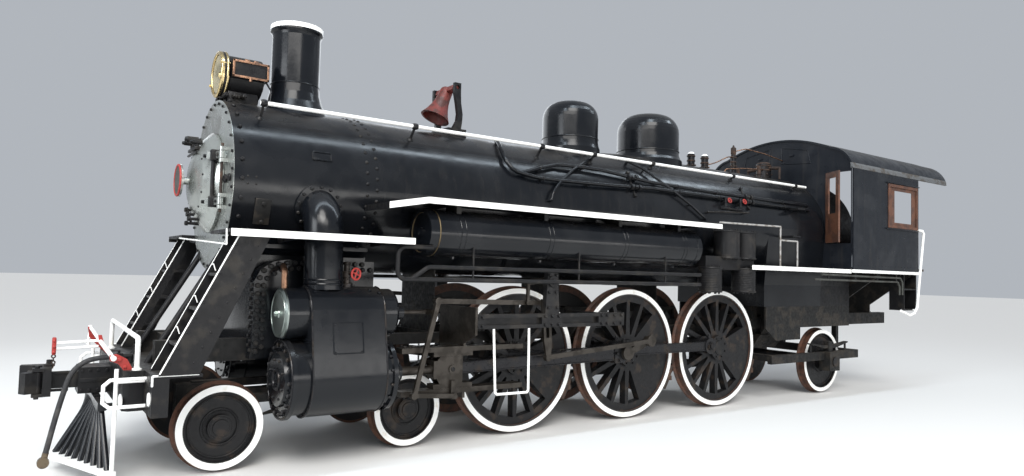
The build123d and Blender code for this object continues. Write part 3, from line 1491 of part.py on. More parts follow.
FRAME_LIP = 40
SASH = 45
frames = block(
    WINDOW_REAR, WINDOW_FRONT, CAB_HALF, CAB_HALF + 14, WINDOW_SILL - FRAME_LIP,
    WINDOW_HEAD + FRAME_LIP,
)
frames -= block(
    WINDOW_REAR + SASH, WINDOW_FRONT - SASH, WALL_IN - 25, CAB_HALF + 50, WINDOW_SILL + 10,
    WINDOW_HEAD - 10,
)
save("window_frames", both_sides(frames))

# Handrail along the boiler, on radial stanchions
RAIL_POINT = (711, 3540)
RAIL_ENDS = (-266, -9619)
STANCHIONS = (-300, -1985, -3800, -4690, -5815, -7630, -9310)
handrail = rod_x(21, *RAIL_ENDS, *RAIL_POINT)
rail_lean_from_top = atan2(RAIL_POINT[0], RAIL_POINT[1] - BOILER_Z)
for post_x in STANCHIONS:
    stanchion = block(-11, 11, -11, 11, SMOKEBOX_R - 55, 1060)
    handrail += Pos(post_x, 0, BOILER_Z) * Rot(-degrees(rail_lean_from_top), 0, 0) * stanchion
for solid in (smokebox_solid, barrel, firebox):
    handrail -= solid

# Steps under the cab's rear corners
LADDER_OUT = WALL_IN - 5
LADDER_IN = LADDER_OUT - 265
LADDER_ENDS = (-11560, CAB_REAR + 20)
LADDER_LEVELS = (1420, 1790)
front, rear = LADDER_ENDS
ladder = block(front, front - 20, LADDER_IN, LADDER_OUT, LADDER_LEVELS[0], FLOOR_UNDER)
ladder += block(rear + 20, rear, LADDER_IN, LADDER_OUT, LADDER_LEVELS[0], FLOOR_UNDER)
for level in LADDER_LEVELS:
    ladder += block(front, rear, LADDER_IN, LADDER_OUT, level, level + 24)
save("steps", both_sides(stairs), both_sides(ladder))

# Leaning handrails at the cab's rear corners, stayed from the lower step
RAIL_Y = CAB_HALF + 24
CAB_RAIL_R = 23
cab_rail = mitred_pipe(
    [
        (CAB_REAR + 40, CAB_HALF + 23, 2890),
        (CAB_REAR - 90, RAIL_Y, 2890),
        (CAB_REAR - 142, RAIL_Y, 2840),
        (CAB_REAR + 112, RAIL_Y, 1470),
        (CAB_REAR + 220, RAIL_Y, 1370),
        (CAB_REAR + 380, RAIL_Y, 1337),
        (CAB_REAR + 700, RAIL_Y, 1420),
    ],
    CAB_RAIL_R,
)
cab_rail += rod_y(12, LADDER_OUT, RAIL_Y, CAB_REAR + 150, LADDER_LEVELS[0] + 12)

# Seat boxes in the cab
SEAT_FRONT = BACKHEAD_X - 60
SEAT_REAR = BACKHEAD_X - 760
SEAT_TOP = 2680
seat = block(SEAT_FRONT, SEAT_REAR, 1010, WALL_IN, FLOOR_TOP, SEAT_TOP - 60)
seat += block(SEAT_FRONT, SEAT_REAR, 990, WALL_IN, SEAT_TOP - 60, SEAT_TOP)
save("cab_seats", both_sides(seat))

# Ladder rails and steps beside the firebox
ACCESS_Y = BOARD_HALF - 30
ACCESS_R = 13
ACCESS_TOP = BOARDS[1][2] + 50
ACCESS_STEP = ACCESS_TOP - 206
access_x = BOARDS[2][0] - 720
access = mitred_pipe(
    [
        (BOARDS[1][1] + 20, ACCESS_Y, BOARDS[1][2] + 28),
        (access_x, ACCESS_Y, ACCESS_TOP),
        (access_x, ACCESS_Y, BOARDS[2][2]),
    ],
    ACCESS_R,
)
access += rod_z(ACCESS_R, BOARDS[2][2], ACCESS_STEP, access_x - 440, ACCESS_Y)
access += rod_x(ACCESS_R, access_x, access_x - 440, ACCESS_Y, ACCESS_STEP)
save("handrails", both_sides(handrail), both_sides(cab_rail), both_sides(access))

# Two safety valves, whistle and steam turret on the firebox: place, radius and height above it
FIREBOX_TOP = BOILER_Z + FIREBOX_R
FITTINGS = (
    (BARREL_REAR + 740, 60, 223),
    (BARREL_REAR + 400, 60, 223),
    (BARREL_REAR - 360, 45, 323),
    (CAB_FRONT + 370, 130, 263),
)
fittings = []
for x, radius, height in FITTINGS:
    fittings.append(
        rod_z(radius, FIREBOX_TOP - 137, FIREBOX_TOP + height, x, 0) - barrel - firebox
    )
save("boiler_fittings", fittings)


# Trucks
def truck_spring(centre, foot, seat_z, rise, y0, y1):
    """A leaf spring: foot and seat_z are its lowest and middle heights, rise is that of its ends."""
    return side_plate(
        [
            (centre - 560, foot + rise),
            (centre - 560, foot + rise - 20),
            (centre - 170, foot),
            (centre + 170, foot),
            (centre + 560, foot + rise - 20),
            (centre + 560, foot + rise),
            (centre + 170, seat_z),
            (centre - 170, seat_z),
        ],
        y0,
        y1,
    )


LEAD_BOX_HALF = 160
LEAD_BOX_IN = 470
LEAD_BOX_OUT = 640
LEAD_BAR_LOW = 560
truck = block(LEAD_AXLES[1] + 250, LEAD_AXLES[0] - 250, -60, 60, 500, 620)
for side in (1, -1):
    for axle_x in LEAD_AXLES:
        box = block(
            axle_x - LEAD_BOX_HALF, axle_x + LEAD_BOX_HALF, side * LEAD_BOX_IN, side * LEAD_BOX_OUT,
            250, 620,
        )
        truck += box - rod_y(LEAD_AXLE_R + 2, side * 400, side * 700, axle_x, LEAD_RADIUS)
    truck += block(*LEAD_AXLES, side * 500, side * 600, LEAD_BAR_LOW, LEAD_BAR_LOW + 80)
truck += block(TRUCK_PIVOT - 160, TRUCK_PIVOT + 160, -600, 600, LEAD_BAR_LOW, 660)
truck += rod_z(150, 660, CENTRE_PLATE_UNDER - 2, TRUCK_PIVOT, 0)
lead_spring = side_plate(
    [
        (TRUCK_PIVOT - 560, 420),
        (TRUCK_PIVOT - 180, 540),
        (TRUCK_PIVOT + 180, 540),
        (TRUCK_PIVOT + 560, 420),
        (TRUCK_PIVOT + 180, 470),
        (TRUCK_PIVOT - 180, 470),
    ],
    515,
    585,
)
lead_spring += block(TRUCK_PIVOT - 50, TRUCK_PIVOT + 50, 508, 592, 450, LEAD_BAR_LOW + 10)
for spring_side in both_sides(lead_spring):
    truck += spring_side
save("lead_truck_frame", truck)

# Trailing truck, with outside boxes
TRAIL_BAR = (880, 960)
TRAIL_BAR_LOW = 560
TRAIL_BAR_HIGH = 700
TRAIL_FRONT = TRAIL_PIVOT + 60
TRAIL_REAR = -10900
PAD_FRONT = TRAIL_REAR + 90
trail = block(TRAIL_FRONT, TRAIL_REAR, *TRAIL_BAR, TRAIL_BAR_LOW, TRAIL_BAR_HIGH)
trail += block(TRAILING_AXLE - 150, TRAILING_AXLE + 150, 860, 1060, 380, TRAIL_BAR_HIGH)
trail -= rod_y(TRAILING_AXLE_R + 2, 700, 1200, TRAILING_AXLE, TRAILING_RADIUS)
trail += truck_spring(TRAILING_AXLE, 760, 810, 100, 890, 970)
trail += block(TRAILING_AXLE - 60, TRAILING_AXLE + 60, 882, 978, TRAIL_BAR_HIGH - 10, 875)
for end in (-530, 530):
    trail += rod_z(18, TRAIL_BAR_HIGH - 10, 850, TRAILING_AXLE + end, 930)
left_trail, right_trail = both_sides(trail)
trailing = left_trail + right_trail
trailing += block(TRAIL_FRONT, TRAIL_FRONT - 120, -880, 880, 600, TRAIL_BAR_HIGH)
trailing += block(TRAIL_REAR + 100, TRAIL_REAR, -960, 960, TRAIL_BAR_LOW, TRAIL_BAR_HIGH)
for side in (1, -1):
    trailing += block(PAD_FRONT, PAD_FRONT - 80, side * 500, side * 590, TRAIL_BAR_HIGH, 1108)
trailing += rod_z(TRAIL_PIN_R, 650, 895, TRAIL_PIVOT, 0)
save("trailing_truck_frame", trailing)

# Drawbar pocket under the cab deck
DRAWBAR_X = DECK_REAR - 160
DRAWBAR_PIN_R = 45
POCKET_WALL = 55
pocket = block(DECK_REAR + 50, DRAWBAR_X - 120, -190, 190, POCKET_LOW, POCKET_HIGH)
pocket -= block(
    DRAWBAR_X + 100, DRAWBAR_X - 130, -150, 150, POCKET_LOW + POCKET_WALL, POCKET_HIGH - POCKET_WALL
)
pocket -= rod_z(DRAWBAR_PIN_R, POCKET_LOW - 30, POCKET_HIGH + 80, DRAWBAR_X, 0)
save("drawbar_pocket", pocket)
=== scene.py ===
"""A 4-6-2 steam locomotive without its tender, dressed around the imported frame.

Places are in metres from the rail head: x forwards from the front lead axle, y to the engine's own left
and z upwards. SHIFT, read from the frame, moves a finished piece to the part's own origin.
"""

from collections import namedtuple
from math import asin, atan2, cos, pi, radians, sin, sqrt, tau

import bmesh
import bpy
from mathutils import Matrix, Vector


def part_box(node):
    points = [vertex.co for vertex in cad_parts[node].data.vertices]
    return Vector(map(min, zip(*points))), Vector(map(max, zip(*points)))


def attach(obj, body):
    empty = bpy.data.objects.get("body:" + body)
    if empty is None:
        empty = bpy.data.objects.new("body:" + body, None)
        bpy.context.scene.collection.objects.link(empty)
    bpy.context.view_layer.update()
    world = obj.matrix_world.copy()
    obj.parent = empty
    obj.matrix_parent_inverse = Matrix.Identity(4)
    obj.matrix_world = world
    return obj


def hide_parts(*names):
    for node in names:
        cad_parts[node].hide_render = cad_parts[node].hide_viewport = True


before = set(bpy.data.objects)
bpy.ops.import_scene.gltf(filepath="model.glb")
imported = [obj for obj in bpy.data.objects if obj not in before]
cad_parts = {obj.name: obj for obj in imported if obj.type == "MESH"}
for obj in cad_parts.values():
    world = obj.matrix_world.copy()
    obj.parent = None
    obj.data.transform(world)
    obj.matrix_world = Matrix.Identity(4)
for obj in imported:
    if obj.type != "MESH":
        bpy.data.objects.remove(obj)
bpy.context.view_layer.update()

# Axles along the engine, and the wheels' radii to the tread
DRIVER_AXLES = (-3.413, -5.296, -7.178)
LEAD_AXLES = (0.0, -1.953)
TRAILING_AXLE = -9.980
DRIVER_R, LEAD_R, TRAILING_R = 0.8635, 0.3935, 0.533
# The main driving axle, as the frame has it, gives the shift from rail co-ordinates
tyre_low, tyre_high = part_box("driver_2_tyres")
SHIFT = Vector(
    (
        (tyre_low.x + tyre_high.x) / 2 - DRIVER_AXLES[1],
        0.0,
        (tyre_low.z + tyre_high.z) / 2 - DRIVER_R,
    )
)
X, Y, Z = Vector((1, 0, 0)), Vector((0, 1, 0)), Vector((0, 0, 1))
SIDES = ((1, "left"), (-1, "right"))


def span(node):
    """The lowest and highest corner of a CAD node, in rail co-ordinates."""
    low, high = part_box(node)
    return low - SHIFT, high - SHIFT


# Camera, fitted to the wheels, boards and cab in the photograph
CAMERA_PLACE = Vector((1.722, 7.911, 1.916))
CAMERA_YAW = radians(-35.252)
CAMERA_PITCH = radians(2.785)
CAMERA_ROLL = radians(1.512)
CAMERA_LENS = 25.11
SENSOR = 36.0

forward = Vector(
    (
        sin(CAMERA_YAW) * cos(CAMERA_PITCH),
        -cos(CAMERA_YAW) * cos(CAMERA_PITCH),
        sin(CAMERA_PITCH),
    )
)
level_right = forward.cross(Z).normalized()
level_up = level_right.cross(forward)
camera_right = level_right * cos(CAMERA_ROLL) + level_up * sin(CAMERA_ROLL)
camera_up = level_up * cos(CAMERA_ROLL) - level_right * sin(CAMERA_ROLL)
camera_data = bpy.data.cameras.new("camera")
camera_data.lens = CAMERA_LENS
camera_data.sensor_width = SENSOR
camera_data.sensor_fit = "HORIZONTAL"
camera_data.clip_start = 0.1
camera_data.clip_end = 400
camera = bpy.data.objects.new("camera", camera_data)
axes = Matrix((camera_right, camera_up, -forward)).transposed().to_4x4()
camera.matrix_world = Matrix.Translation(CAMERA_PLACE + SHIFT) @ axes
bpy.context.scene.collection.objects.link(camera)
bpy.context.scene.camera = camera


# Materials
Coat = namedtuple("Coat", "colour worn patch scale rough metal")
# Each coat: colour, colour of its patches, level above which patches show, patches per metre,
# roughness from and to, and metallic share
COATS = {
    "gloss black": Coat((0.005, 0.006, 0.008), (0.009, 0.010, 0.012), 0.54, 1.6, (0.16, 0.25), 0.0),
    "black": Coat((0.009, 0.009, 0.010), (0.022, 0.020, 0.018), 0.57, 5.0, (0.28, 0.55), 0.0),
    "dusty black": Coat((0.012, 0.012, 0.012), (0.030, 0.026, 0.022), 0.54, 6.0, (0.42, 0.72), 0.0),
    "cab black": Coat((0.009, 0.011, 0.015), (0.017, 0.019, 0.023), 0.56, 2.0, (0.26, 0.44), 0.0),
    "smokebox grey": Coat((0.40, 0.42, 0.40), (0.27, 0.27, 0.25), 0.58, 2.0, (0.22, 0.38), 0.78),
    "white": Coat((0.90, 0.90, 0.88), (0.74, 0.71, 0.64), 0.66, 9.0, (0.40, 0.58), 0.0),
    "red": Coat((0.34, 0.028, 0.022), (0.20, 0.030, 0.024), 0.60, 12.0, (0.45, 0.65), 0.0),
    "bell red": Coat((0.130, 0.021, 0.016), (0.060, 0.018, 0.014), 0.52, 8.0, (0.45, 0.70), 0.0),
    "oily steel": Coat((0.046, 0.040, 0.034), (0.024, 0.020, 0.016), 0.50, 7.0, (0.28, 0.48), 0.6),
    "dark steel": Coat((0.018, 0.018, 0.020), (0.030, 0.024, 0.020), 0.58, 6.0, (0.22, 0.42), 0.45),
    "polished": Coat((0.34, 0.385, 0.36), (0.28, 0.32, 0.30), 0.58, 2.0, (0.30, 0.38), 1.0),
    "lamp cream": Coat((0.60, 0.54, 0.38), (0.42, 0.38, 0.26), 0.55, 6.0, (0.22, 0.34), 0.8),
    "rusty iron": Coat((0.040, 0.030, 0.026), (0.075, 0.045, 0.032), 0.52, 10.0, (0.58, 0.85), 0.0),
    "tread rust": Coat((0.105, 0.050, 0.033), (0.066, 0.038, 0.029), 0.50, 12.0, (0.60, 0.85), 0.0),
    "wheel black": Coat((0.010, 0.010, 0.011), (0.032, 0.024, 0.019), 0.58, 7.0, (0.32, 0.58), 0.0),
    "brown wood": Coat((0.120, 0.050, 0.028), (0.075, 0.034, 0.022), 0.50, 6.0, (0.42, 0.62), 0.0),
    "deck wood": Coat((0.090, 0.066, 0.050), (0.050, 0.040, 0.034), 0.50, 6.0, (0.70, 0.90), 0.0),
    "rubber": Coat((0.022, 0.022, 0.024), (0.048, 0.046, 0.044), 0.55, 12.0, (0.55, 0.78), 0.0),
    "brass": Coat((0.66, 0.52, 0.27), (0.44, 0.33, 0.17), 0.56, 14.0, (0.18, 0.34), 1.0),
    "worn brass": Coat((0.16, 0.12, 0.065), (0.085, 0.062, 0.040), 0.52, 14.0, (0.36, 0.56), 0.8),
    "copper": Coat((0.34, 0.19, 0.12), (0.18, 0.11, 0.08), 0.54, 14.0, (0.32, 0.52), 0.9),
    "rail grey": Coat((0.34, 0.33, 0.32), (0.16, 0.14, 0.12), 0.54, 12.0, (0.40, 0.60), 0.0),
    "gladhand brown": Coat((0.16, 0.125, 0.085), (0.085, 0.062, 0.045), 0.52, 16.0, (0.34, 0.56), 0.8),
    "olive iron": Coat((0.060, 0.062, 0.056), (0.040, 0.038, 0.034), 0.52, 4.0, (0.45, 0.65), 0.0),
    "bare roof": Coat((0.135, 0.14, 0.145), (0.085, 0.075, 0.065), 0.52, 5.0, (0.48, 0.7), 0.2),
}
DUST = (0.085, 0.074, 0.062)
# Dark paint that mirrors less than bare metal, by slot
GLOSS = {
    "black_gloss": 0.32,
    "black_iron": 0.24,
    "cab_black": 0.22,
    "wheel_iron": 0.24,
    "dark_steel": 0.35,
    "rusty_iron": 0.20,
}


class Finish:
    """A procedural material on Object coordinates, with the record's slot that it stands for."""

    def __init__(self, name, slot, coat, grain=(40.0, 0.06), dust=0.0, streaks=0.0):
        self.slot = slot
        self.material = bpy.data.materials.new(name)
        self.material.use_nodes = True
        self.nodes = self.material.node_tree.nodes
        self.links = self.material.node_tree.links
        self.shader = self.nodes["Principled BSDF"]
        self.place = self.nodes.new("ShaderNodeTexCoord").outputs["Object"]
        self.axes = self.nodes.new("ShaderNodeSeparateXYZ")
        self.links.new(self.place, self.axes.inputs[0])
        self.colour, self.rough, self.metal = self.lay(COATS[coat])
        self.dust = dust
        if streaks:
            runs = self.spread(self.noise(5.0, (3.0, 3.0, 0.22)), 0.52, 0.72)
            self.colour = self.mix(self.maths("MULTIPLY", runs, streaks), self.colour, (*DUST, 1))
        self.bump(*grain)

    def put(self, socket, value):
        """Set a socket, or link it where the value is another node's output."""
        if isinstance(value, bpy.types.NodeSocket):
            self.links.new(value, socket)
        else:
            socket.default_value = value

    def maths(self, operation, first, second):
        """The result of an operation on two numbers or sockets."""
        node = self.nodes.new("ShaderNodeMath")
        node.operation = operation
        self.put(node.inputs[0], first)
        self.put(node.inputs[1], second)
        return node.outputs[0]

    def noise(self, scale, stretch=(1.0, 1.0, 1.0)):
        """Noise with a number of patches per metre, drawn out along the axes."""
        mapping = self.nodes.new("ShaderNodeMapping")
        self.links.new(self.place, mapping.inputs["Vector"])
        mapping.inputs["Scale"].default_value = stretch
        node = self.nodes.new("ShaderNodeTexNoise")
        self.links.new(mapping.outputs[0], node.inputs["Vector"])
        node.inputs["Scale"].default_value = scale
        node.inputs["Detail"].default_value = 6.0
        return node.outputs["Fac"]

    def spread(self, value, low, high, first=0.0, last=1.0):
        """Turn the range from low to high into the range from first to last."""
        node = self.nodes.new("ShaderNodeMapRange")
        node.interpolation_type = "SMOOTHSTEP"
        for socket, given in zip(node.inputs, (value, low, high, first, last)):
            self.put(socket, given)
        return node.outputs[0]

    def mix(self, share, first, second):
        """Mix two colours, or two numbers."""
        node = self.nodes.new("ShaderNodeMix")
        numbers = not isinstance(second, tuple) and getattr(second, "type", "VALUE") == "VALUE"
        node.data_type = "FLOAT" if numbers else "RGBA"
        low, high = (2, 3) if numbers else (6, 7)
        self.put(node.inputs[0], share)
        self.put(node.inputs[low], first)
        self.put(node.inputs[high], second)
        return node.outputs[0 if numbers else 2]

    def lay(self, coat):
        """A coat's colour, roughness and metallic share."""
        patches = self.spread(self.noise(coat.scale), coat.patch - 0.06, coat.patch + 0.08)
        colour = self.mix(patches, (*coat.colour, 1), (*coat.worn, 1))
        rough = self.spread(self.noise(coat.scale * 3.7), 0.3, 0.7, *coat.rough)
        return colour, rough, coat.metal

    def over(self, where, coat):
        """Paint another coat where the mask is 1."""
        colour, rough, metal = self.lay(COATS[coat])
        self.colour = self.mix(where, self.colour, colour)
        self.rough = self.mix(where, self.rough, rough)
        self.metal = self.mix(where, self.metal, metal)
        return self

    def beyond(self, axis, place):
        """1 where the co-ordinate along an axis, 0 for x to 2 for z, is more than a rail co-ordinate."""
        return self.maths("GREATER_THAN", self.axes.outputs[axis], place + SHIFT[axis])

    def outside(self, half):
        """1 where a point is further than half from the engine's middle."""
        away = self.maths("ABSOLUTE", self.axes.outputs[1], 0.0)
        return self.maths("GREATER_THAN", away, half)

    def ring(self, axle_x, axle_z, radius):
        """1 where a point is further than a radius from an axle."""
        along = self.maths("SUBTRACT", self.axes.outputs[0], axle_x + SHIFT.x)
        rise = self.maths("SUBTRACT", self.axes.outputs[2], axle_z + SHIFT.z)
        squares = self.maths(
            "ADD", self.maths("MULTIPLY", along, along), self.maths("MULTIPLY", rise, rise)
        )
        return self.maths("GREATER_THAN", squares, radius**2)

    def both(self, first, second):
        """1 where two masks are both 1."""
        return self.maths("MULTIPLY", first, second)

    def apart_from(self, mask):
        """1 where a mask is 0."""
        return self.maths("SUBTRACT", 1.0, mask)

    def bump(self, scale, depth):
        """Fine grain on the surface."""
        node = self.nodes.new("ShaderNodeBump")
        node.inputs["Strength"].default_value = depth
        node.inputs["Distance"].default_value = 0.01
        self.links.new(self.noise(scale), node.inputs["Height"])
        self.links.new(node.outputs[0], self.shader.inputs["Normal"])

    def done(self):
        """Wire the coats to the shader, with dust on what faces upwards."""
        if self.dust:
            slope = self.nodes.new("ShaderNodeSeparateXYZ")
            normal = self.nodes.new("ShaderNodeNewGeometry").outputs["Normal"]
            self.links.new(normal, slope.inputs[0])
            upward = self.spread(slope.outputs[2], 0.55, 0.98, 0.0, self.dust)
            settled = self.maths("MULTIPLY", upward, self.spread(self.noise(3.0), 0.3, 0.62))
            self.colour = self.mix(settled, self.colour, (*DUST, 1))
            self.rough = self.mix(settled, self.rough, 0.85)
        for socket, value in (
            ("Base Color", self.colour),
            ("Roughness", self.rough),
            ("Metallic", self.metal),
        ):
            self.put(self.shader.inputs[socket], value)
        self.shader.inputs["Specular IOR Level"].default_value = GLOSS.get(self.slot, 0.5)
        return self


def finish(name, slot, coat, grain=(40.0, 0.06), dust=0.0, streaks=0.0):
    return Finish(name, slot, coat, grain, dust, streaks).done()


boiler_black = finish("boiler_black", "black_gloss", "gloss black", (9.0, 0.035), 0.30, 0.05)
gloss_black = finish("gloss_black", "black_gloss", "gloss black", (14.0, 0.05), 0.18)
iron_black = finish("iron_black", "black_iron", "black", (60.0, 0.16), 0.30)
frame_black = finish("frame_black", "black_iron", "dusty black", (60.0, 0.22), 0.55)
cab_paint = finish("cab_paint", "cab_black", "cab black", (12.0, 0.05), 0.25, 0.10)
grey_paint = finish("grey_paint", "smokebox_grey", "smokebox grey", (30.0, 0.10), 0.0, 0.25)
white_paint = finish("white_paint", "white_paint", "white", (70.0, 0.06))
red_paint = finish("red_paint", "red_paint", "red", (60.0, 0.10))
bell_red = finish("bell_red", "red_paint", "bell red", (60.0, 0.10), 0.2)
oily_steel = finish("oily_steel", "bright_steel", "oily steel", (90.0, 0.10))
dark_steel = finish("dark_steel", "dark_steel", "dark steel", (90.0, 0.08))
rusty_iron = finish("rusty_iron_finish", "rusty_iron", "rusty iron", (80.0, 0.30))
wheel_black = finish("wheel_black", "wheel_iron", "wheel black", (60.0, 0.20))
brown_wood = finish("brown_wood_finish", "brown_wood", "brown wood", (50.0, 0.12))
deck_wood = finish("deck_wood_finish", "deck_wood", "deck wood", (40.0, 0.25))
hose_rubber = finish("hose_rubber_finish", "hose_rubber", "rubber", (120.0, 0.15))
brass = finish("brass_finish", "bright_steel", "brass", (90.0, 0.05))
brass_worn = finish("worn_brass", "bright_steel", "worn brass", (90.0, 0.10))
copper = finish("copper_finish", "bright_steel", "copper", (90.0, 0.05))
polished = finish("polished_cover", "bright_steel", "polished", (20.0, 0.01))
lamp_cream = finish("lamp_cream", "bright_steel", "lamp cream", (30.0, 0.02))
gladhand_brown = finish("gladhand_brown", "bright_steel", "gladhand brown", (90.0, 0.10))
olive_iron = finish("olive_iron", "black_iron", "olive iron", (50.0, 0.12), 0.1)
bare_roof = finish("bare_roof", "cab_black", "bare roof", (30.0, 0.12))

# Finishes with a second coat on part of a node
WHEEL_FACE = 0.818
WHITE_BAND = 0.062
THIN = 0.0015
FRONT_PLATE_X = -0.004


def tyre_finish(axle_x):
    """Rusty treads, and a black outer face with a white band."""
    made = Finish("tyre_finish", "tyre_steel", "tread rust", (70.0, 0.20))
    face = made.outside(WHEEL_FACE - THIN)
    band = made.both(face, made.ring(axle_x, DRIVER_R, DRIVER_R - WHITE_BAND))
    return made.over(face, "wheel black").over(band, "white").done()


def plain_wheel_finish(axle_x, radius):
    """Black wheels with rusty treads and a white rim."""
    made = Finish("plain_wheel_finish", "wheel_iron", "wheel black", (60.0, 0.20))
    hub = made.outside(WHEEL_FACE + THIN)
    face = made.both(made.outside(WHEEL_FACE - THIN), made.apart_from(hub))
    tread = made.both(made.ring(axle_x, radius, radius - THIN), made.apart_from(face))
    band = made.both(face, made.ring(axle_x, radius, radius - WHITE_BAND))
    return made.over(tread, "tread rust").over(band, "white").done()


def smokebox_finish():
    """Gloss black shell with a silver-grey front plate."""
    made = Finish("smokebox_finish", "black_gloss", "gloss black", (9.0, 0.035), 0.30)
    return made.over(made.beyond(0, FRONT_PLATE_X), "smokebox grey").done()


def stack_finish(rim_z):
    """A black stack with a white rim."""
    made = Finish("stack_finish", "black_gloss", "gloss black", (14.0, 0.05))
    return made.over(made.beyond(2, rim_z), "white").done()


def board_finish(edge_y):
    """Dusty boards with a white outer edge."""
    made = Finish("board_finish", "black_iron", "black", (60.0, 0.14), 0.45)
    return made.over(made.outside(edge_y - THIN), "white").done()


def headlight_finish(ring_x):
    """A black lamp box with a brass ring in front."""
    made = Finish("headlight_finish", "black_iron", "black", (60.0, 0.14), 0.2)
    return made.over(made.beyond(0, ring_x), "brass").done()


def handrail_finish(rail_low, half, access_out):
    """White rails, with black posts on the boiler and duller access rails beside the firebox."""
    made = Finish("handrail_finish", "white_paint", "white", (70.0, 0.06))
    posts = made.both(made.apart_from(made.beyond(2, rail_low)), made.apart_from(made.outside(half)))
    access = made.both(made.outside(half), made.apart_from(made.outside(access_out)))
    return made.over(posts, "black").over(access, "rail grey").done()


def cylinder_finish(valve_front, valve_low):
    """Black jacket with a polished cover on the valve chest."""
    made = Finish("cylinder_finish", "black_gloss", "gloss black", (14.0, 0.05), 0.2)
    cover = made.both(made.beyond(0, valve_front), made.beyond(2, valve_low))
    return made.over(cover, "polished").done()


def roof_finish(edge_z):
    """A black roof with bare metal along its lower edge."""
    made = Finish("roof_finish", "cab_black", "cab black", (12.0, 0.05), 0.35)
    return made.over(made.apart_from(made.beyond(2, edge_z)), "bare roof").done()


# How far each second coat reaches from the end or edge of its node
STACK_RIM = 0.05
LENS_RING = 0.022
VALVE_COVER = 0.03
ROOF_EDGE = 0.09
# Heights and half widths that part two coats
VALVE_COVER_LOW = 1.25
RAIL_LOW, BOILER_SIDE, ACCESS_OUT = 3.516, 1.0, 1.445
stack_top = span("stack")[1].z
board_edge = span("running_boards")[1].y
headlight_front = span("headlight")[1].x
cylinder_front = span("cylinders")[1].x
roof_foot = span("cab_roof")[0].z
NODE_FINISHES = {
    "smokebox": smokebox_finish(),
    "smokebox_door": grey_paint,
    "boiler_barrel": boiler_black,
    "firebox": boiler_black,
    "domes": gloss_black,
    "stack": stack_finish(stack_top - STACK_RIM),
    "steam_pipes": gloss_black,
    "air_reservoirs": gloss_black,
    "cylinders": cylinder_finish(cylinder_front - VALVE_COVER, VALVE_COVER_LOW),
    "cylinder_saddle": gloss_black,
    "frame_rails": frame_black,
    "driver_springs": frame_black,
    "brake_rigging": rusty_iron,
    "ash_pan": frame_black,
    "bell": bell_red,
    "bell_bracket": iron_black,
    "headlight": headlight_finish(headlight_front - LENS_RING),
    "running_boards": board_finish(board_edge),
    "pilot_beam": iron_black,
    "pilot_rail": white_paint,
    "pilot": gloss_black,
    "grab_irons": white_paint,
    "coupler_body": iron_black,
    "coupler_knuckle": iron_black,
    "brake_hose": hose_rubber,
    "hose_gladhand": gladhand_brown,
    "pipework": iron_black,
    "air_compressor": iron_black,
    "handrails": handrail_finish(RAIL_LOW, BOILER_SIDE, ACCESS_OUT),
    "cab_sides": cab_paint,
    "cab_front": cab_paint,
    "cab_roof": roof_finish(roof_foot + ROOF_EDGE),
    "cab_floor": deck_wood,
    "cab_front_door": brown_wood,
    "window_frames": brown_wood,
    "cab_seats": brown_wood,
    "backhead": iron_black,
    "boiler_fittings": dark_steel,
    "steps": iron_black,
    "guide_bars": oily_steel,
    "crossheads": oily_steel,
    "main_rods": dark_steel,
    "side_rod_left": dark_steel,
    "side_rod_right": dark_steel,
    "valve_gear": oily_steel,
    "gear_frames": iron_black,
    "lead_truck_frame": frame_black,
    "trailing_truck_frame": frame_black,
    "drawbar_pocket": frame_black,
    "lead_wheelset_front": plain_wheel_finish(LEAD_AXLES[0], LEAD_R),
    "lead_wheelset_rear": plain_wheel_finish(LEAD_AXLES[1], LEAD_R),
    "trailing_wheelset": plain_wheel_finish(TRAILING_AXLE, TRAILING_R),
}
for number, axle_x in enumerate(DRIVER_AXLES, start=1):
    NODE_FINISHES[f"driver_{number}_tyres"] = tyre_finish(axle_x)
    NODE_FINISHES[f"driver_{number}_centres"] = wheel_black
for node, chosen in NODE_FINISHES.items():
    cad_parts[node].data.materials.clear()
    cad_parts[node].data.materials.append(chosen.material)


# Making of pieces
def add(name, bm, chosen, body="engine", crease=35):
    """Turn a finished bmesh into a piece that rides on a body."""
    bmesh.ops.recalc_face_normals(bm, faces=bm.faces)
    bmesh.ops.translate(bm, verts=bm.verts, vec=SHIFT)
    mesh = bpy.data.meshes.new(name)
    bm.to_mesh(mesh)
    bm.free()
    mesh.shade_smooth()
    mesh.set_sharp_from_angle(angle=radians(crease))
    mesh.materials.append(chosen.material)
    piece = bpy.data.objects.new(name, mesh)
    bpy.context.scene.collection.objects.link(piece)
    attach(piece, body)
    return piece


def facing(place, direction):
    """A transform that takes +z at the origin to a direction at a place."""
    turn = Z.rotation_difference(Vector(direction)).to_matrix().to_4x4()
    return Matrix.Translation(Vector(place)) @ turn


def bar(bm, start, end, radius, tip=None, sides=12):
    """A round bar between two points, tapered where a tip radius is given."""
    start, end = Vector(start), Vector(end)
    bmesh.ops.create_cone(
        bm,
        cap_ends=True,
        segments=sides,
        radius1=radius,
        radius2=radius if tip is None else tip,
        depth=(end - start).length,
        matrix=facing((start + end) / 2, end - start),
    )


def slab(bm, low, high, ease=0.0, turn=None):
    """A block between two corners, with its edges eased, and turned about its middle."""
    low, high = Vector(low), Vector(high)
    size = high - low
    place = Matrix.Translation((low + high) / 2)
    if turn is not None:
        place = place @ turn
    made = bmesh.ops.create_cube(bm, size=1.0, matrix=place @ Matrix.Diagonal((*size, 1.0)))
    if ease:
        edges = {edge for vert in made["verts"] for edge in vert.link_edges}
        bmesh.ops.bevel(
            bm,
            geom=list(edges),
            offset=ease,
            segments=2,
            profile=0.5,
            affect="EDGES",
            material=-1,
        )


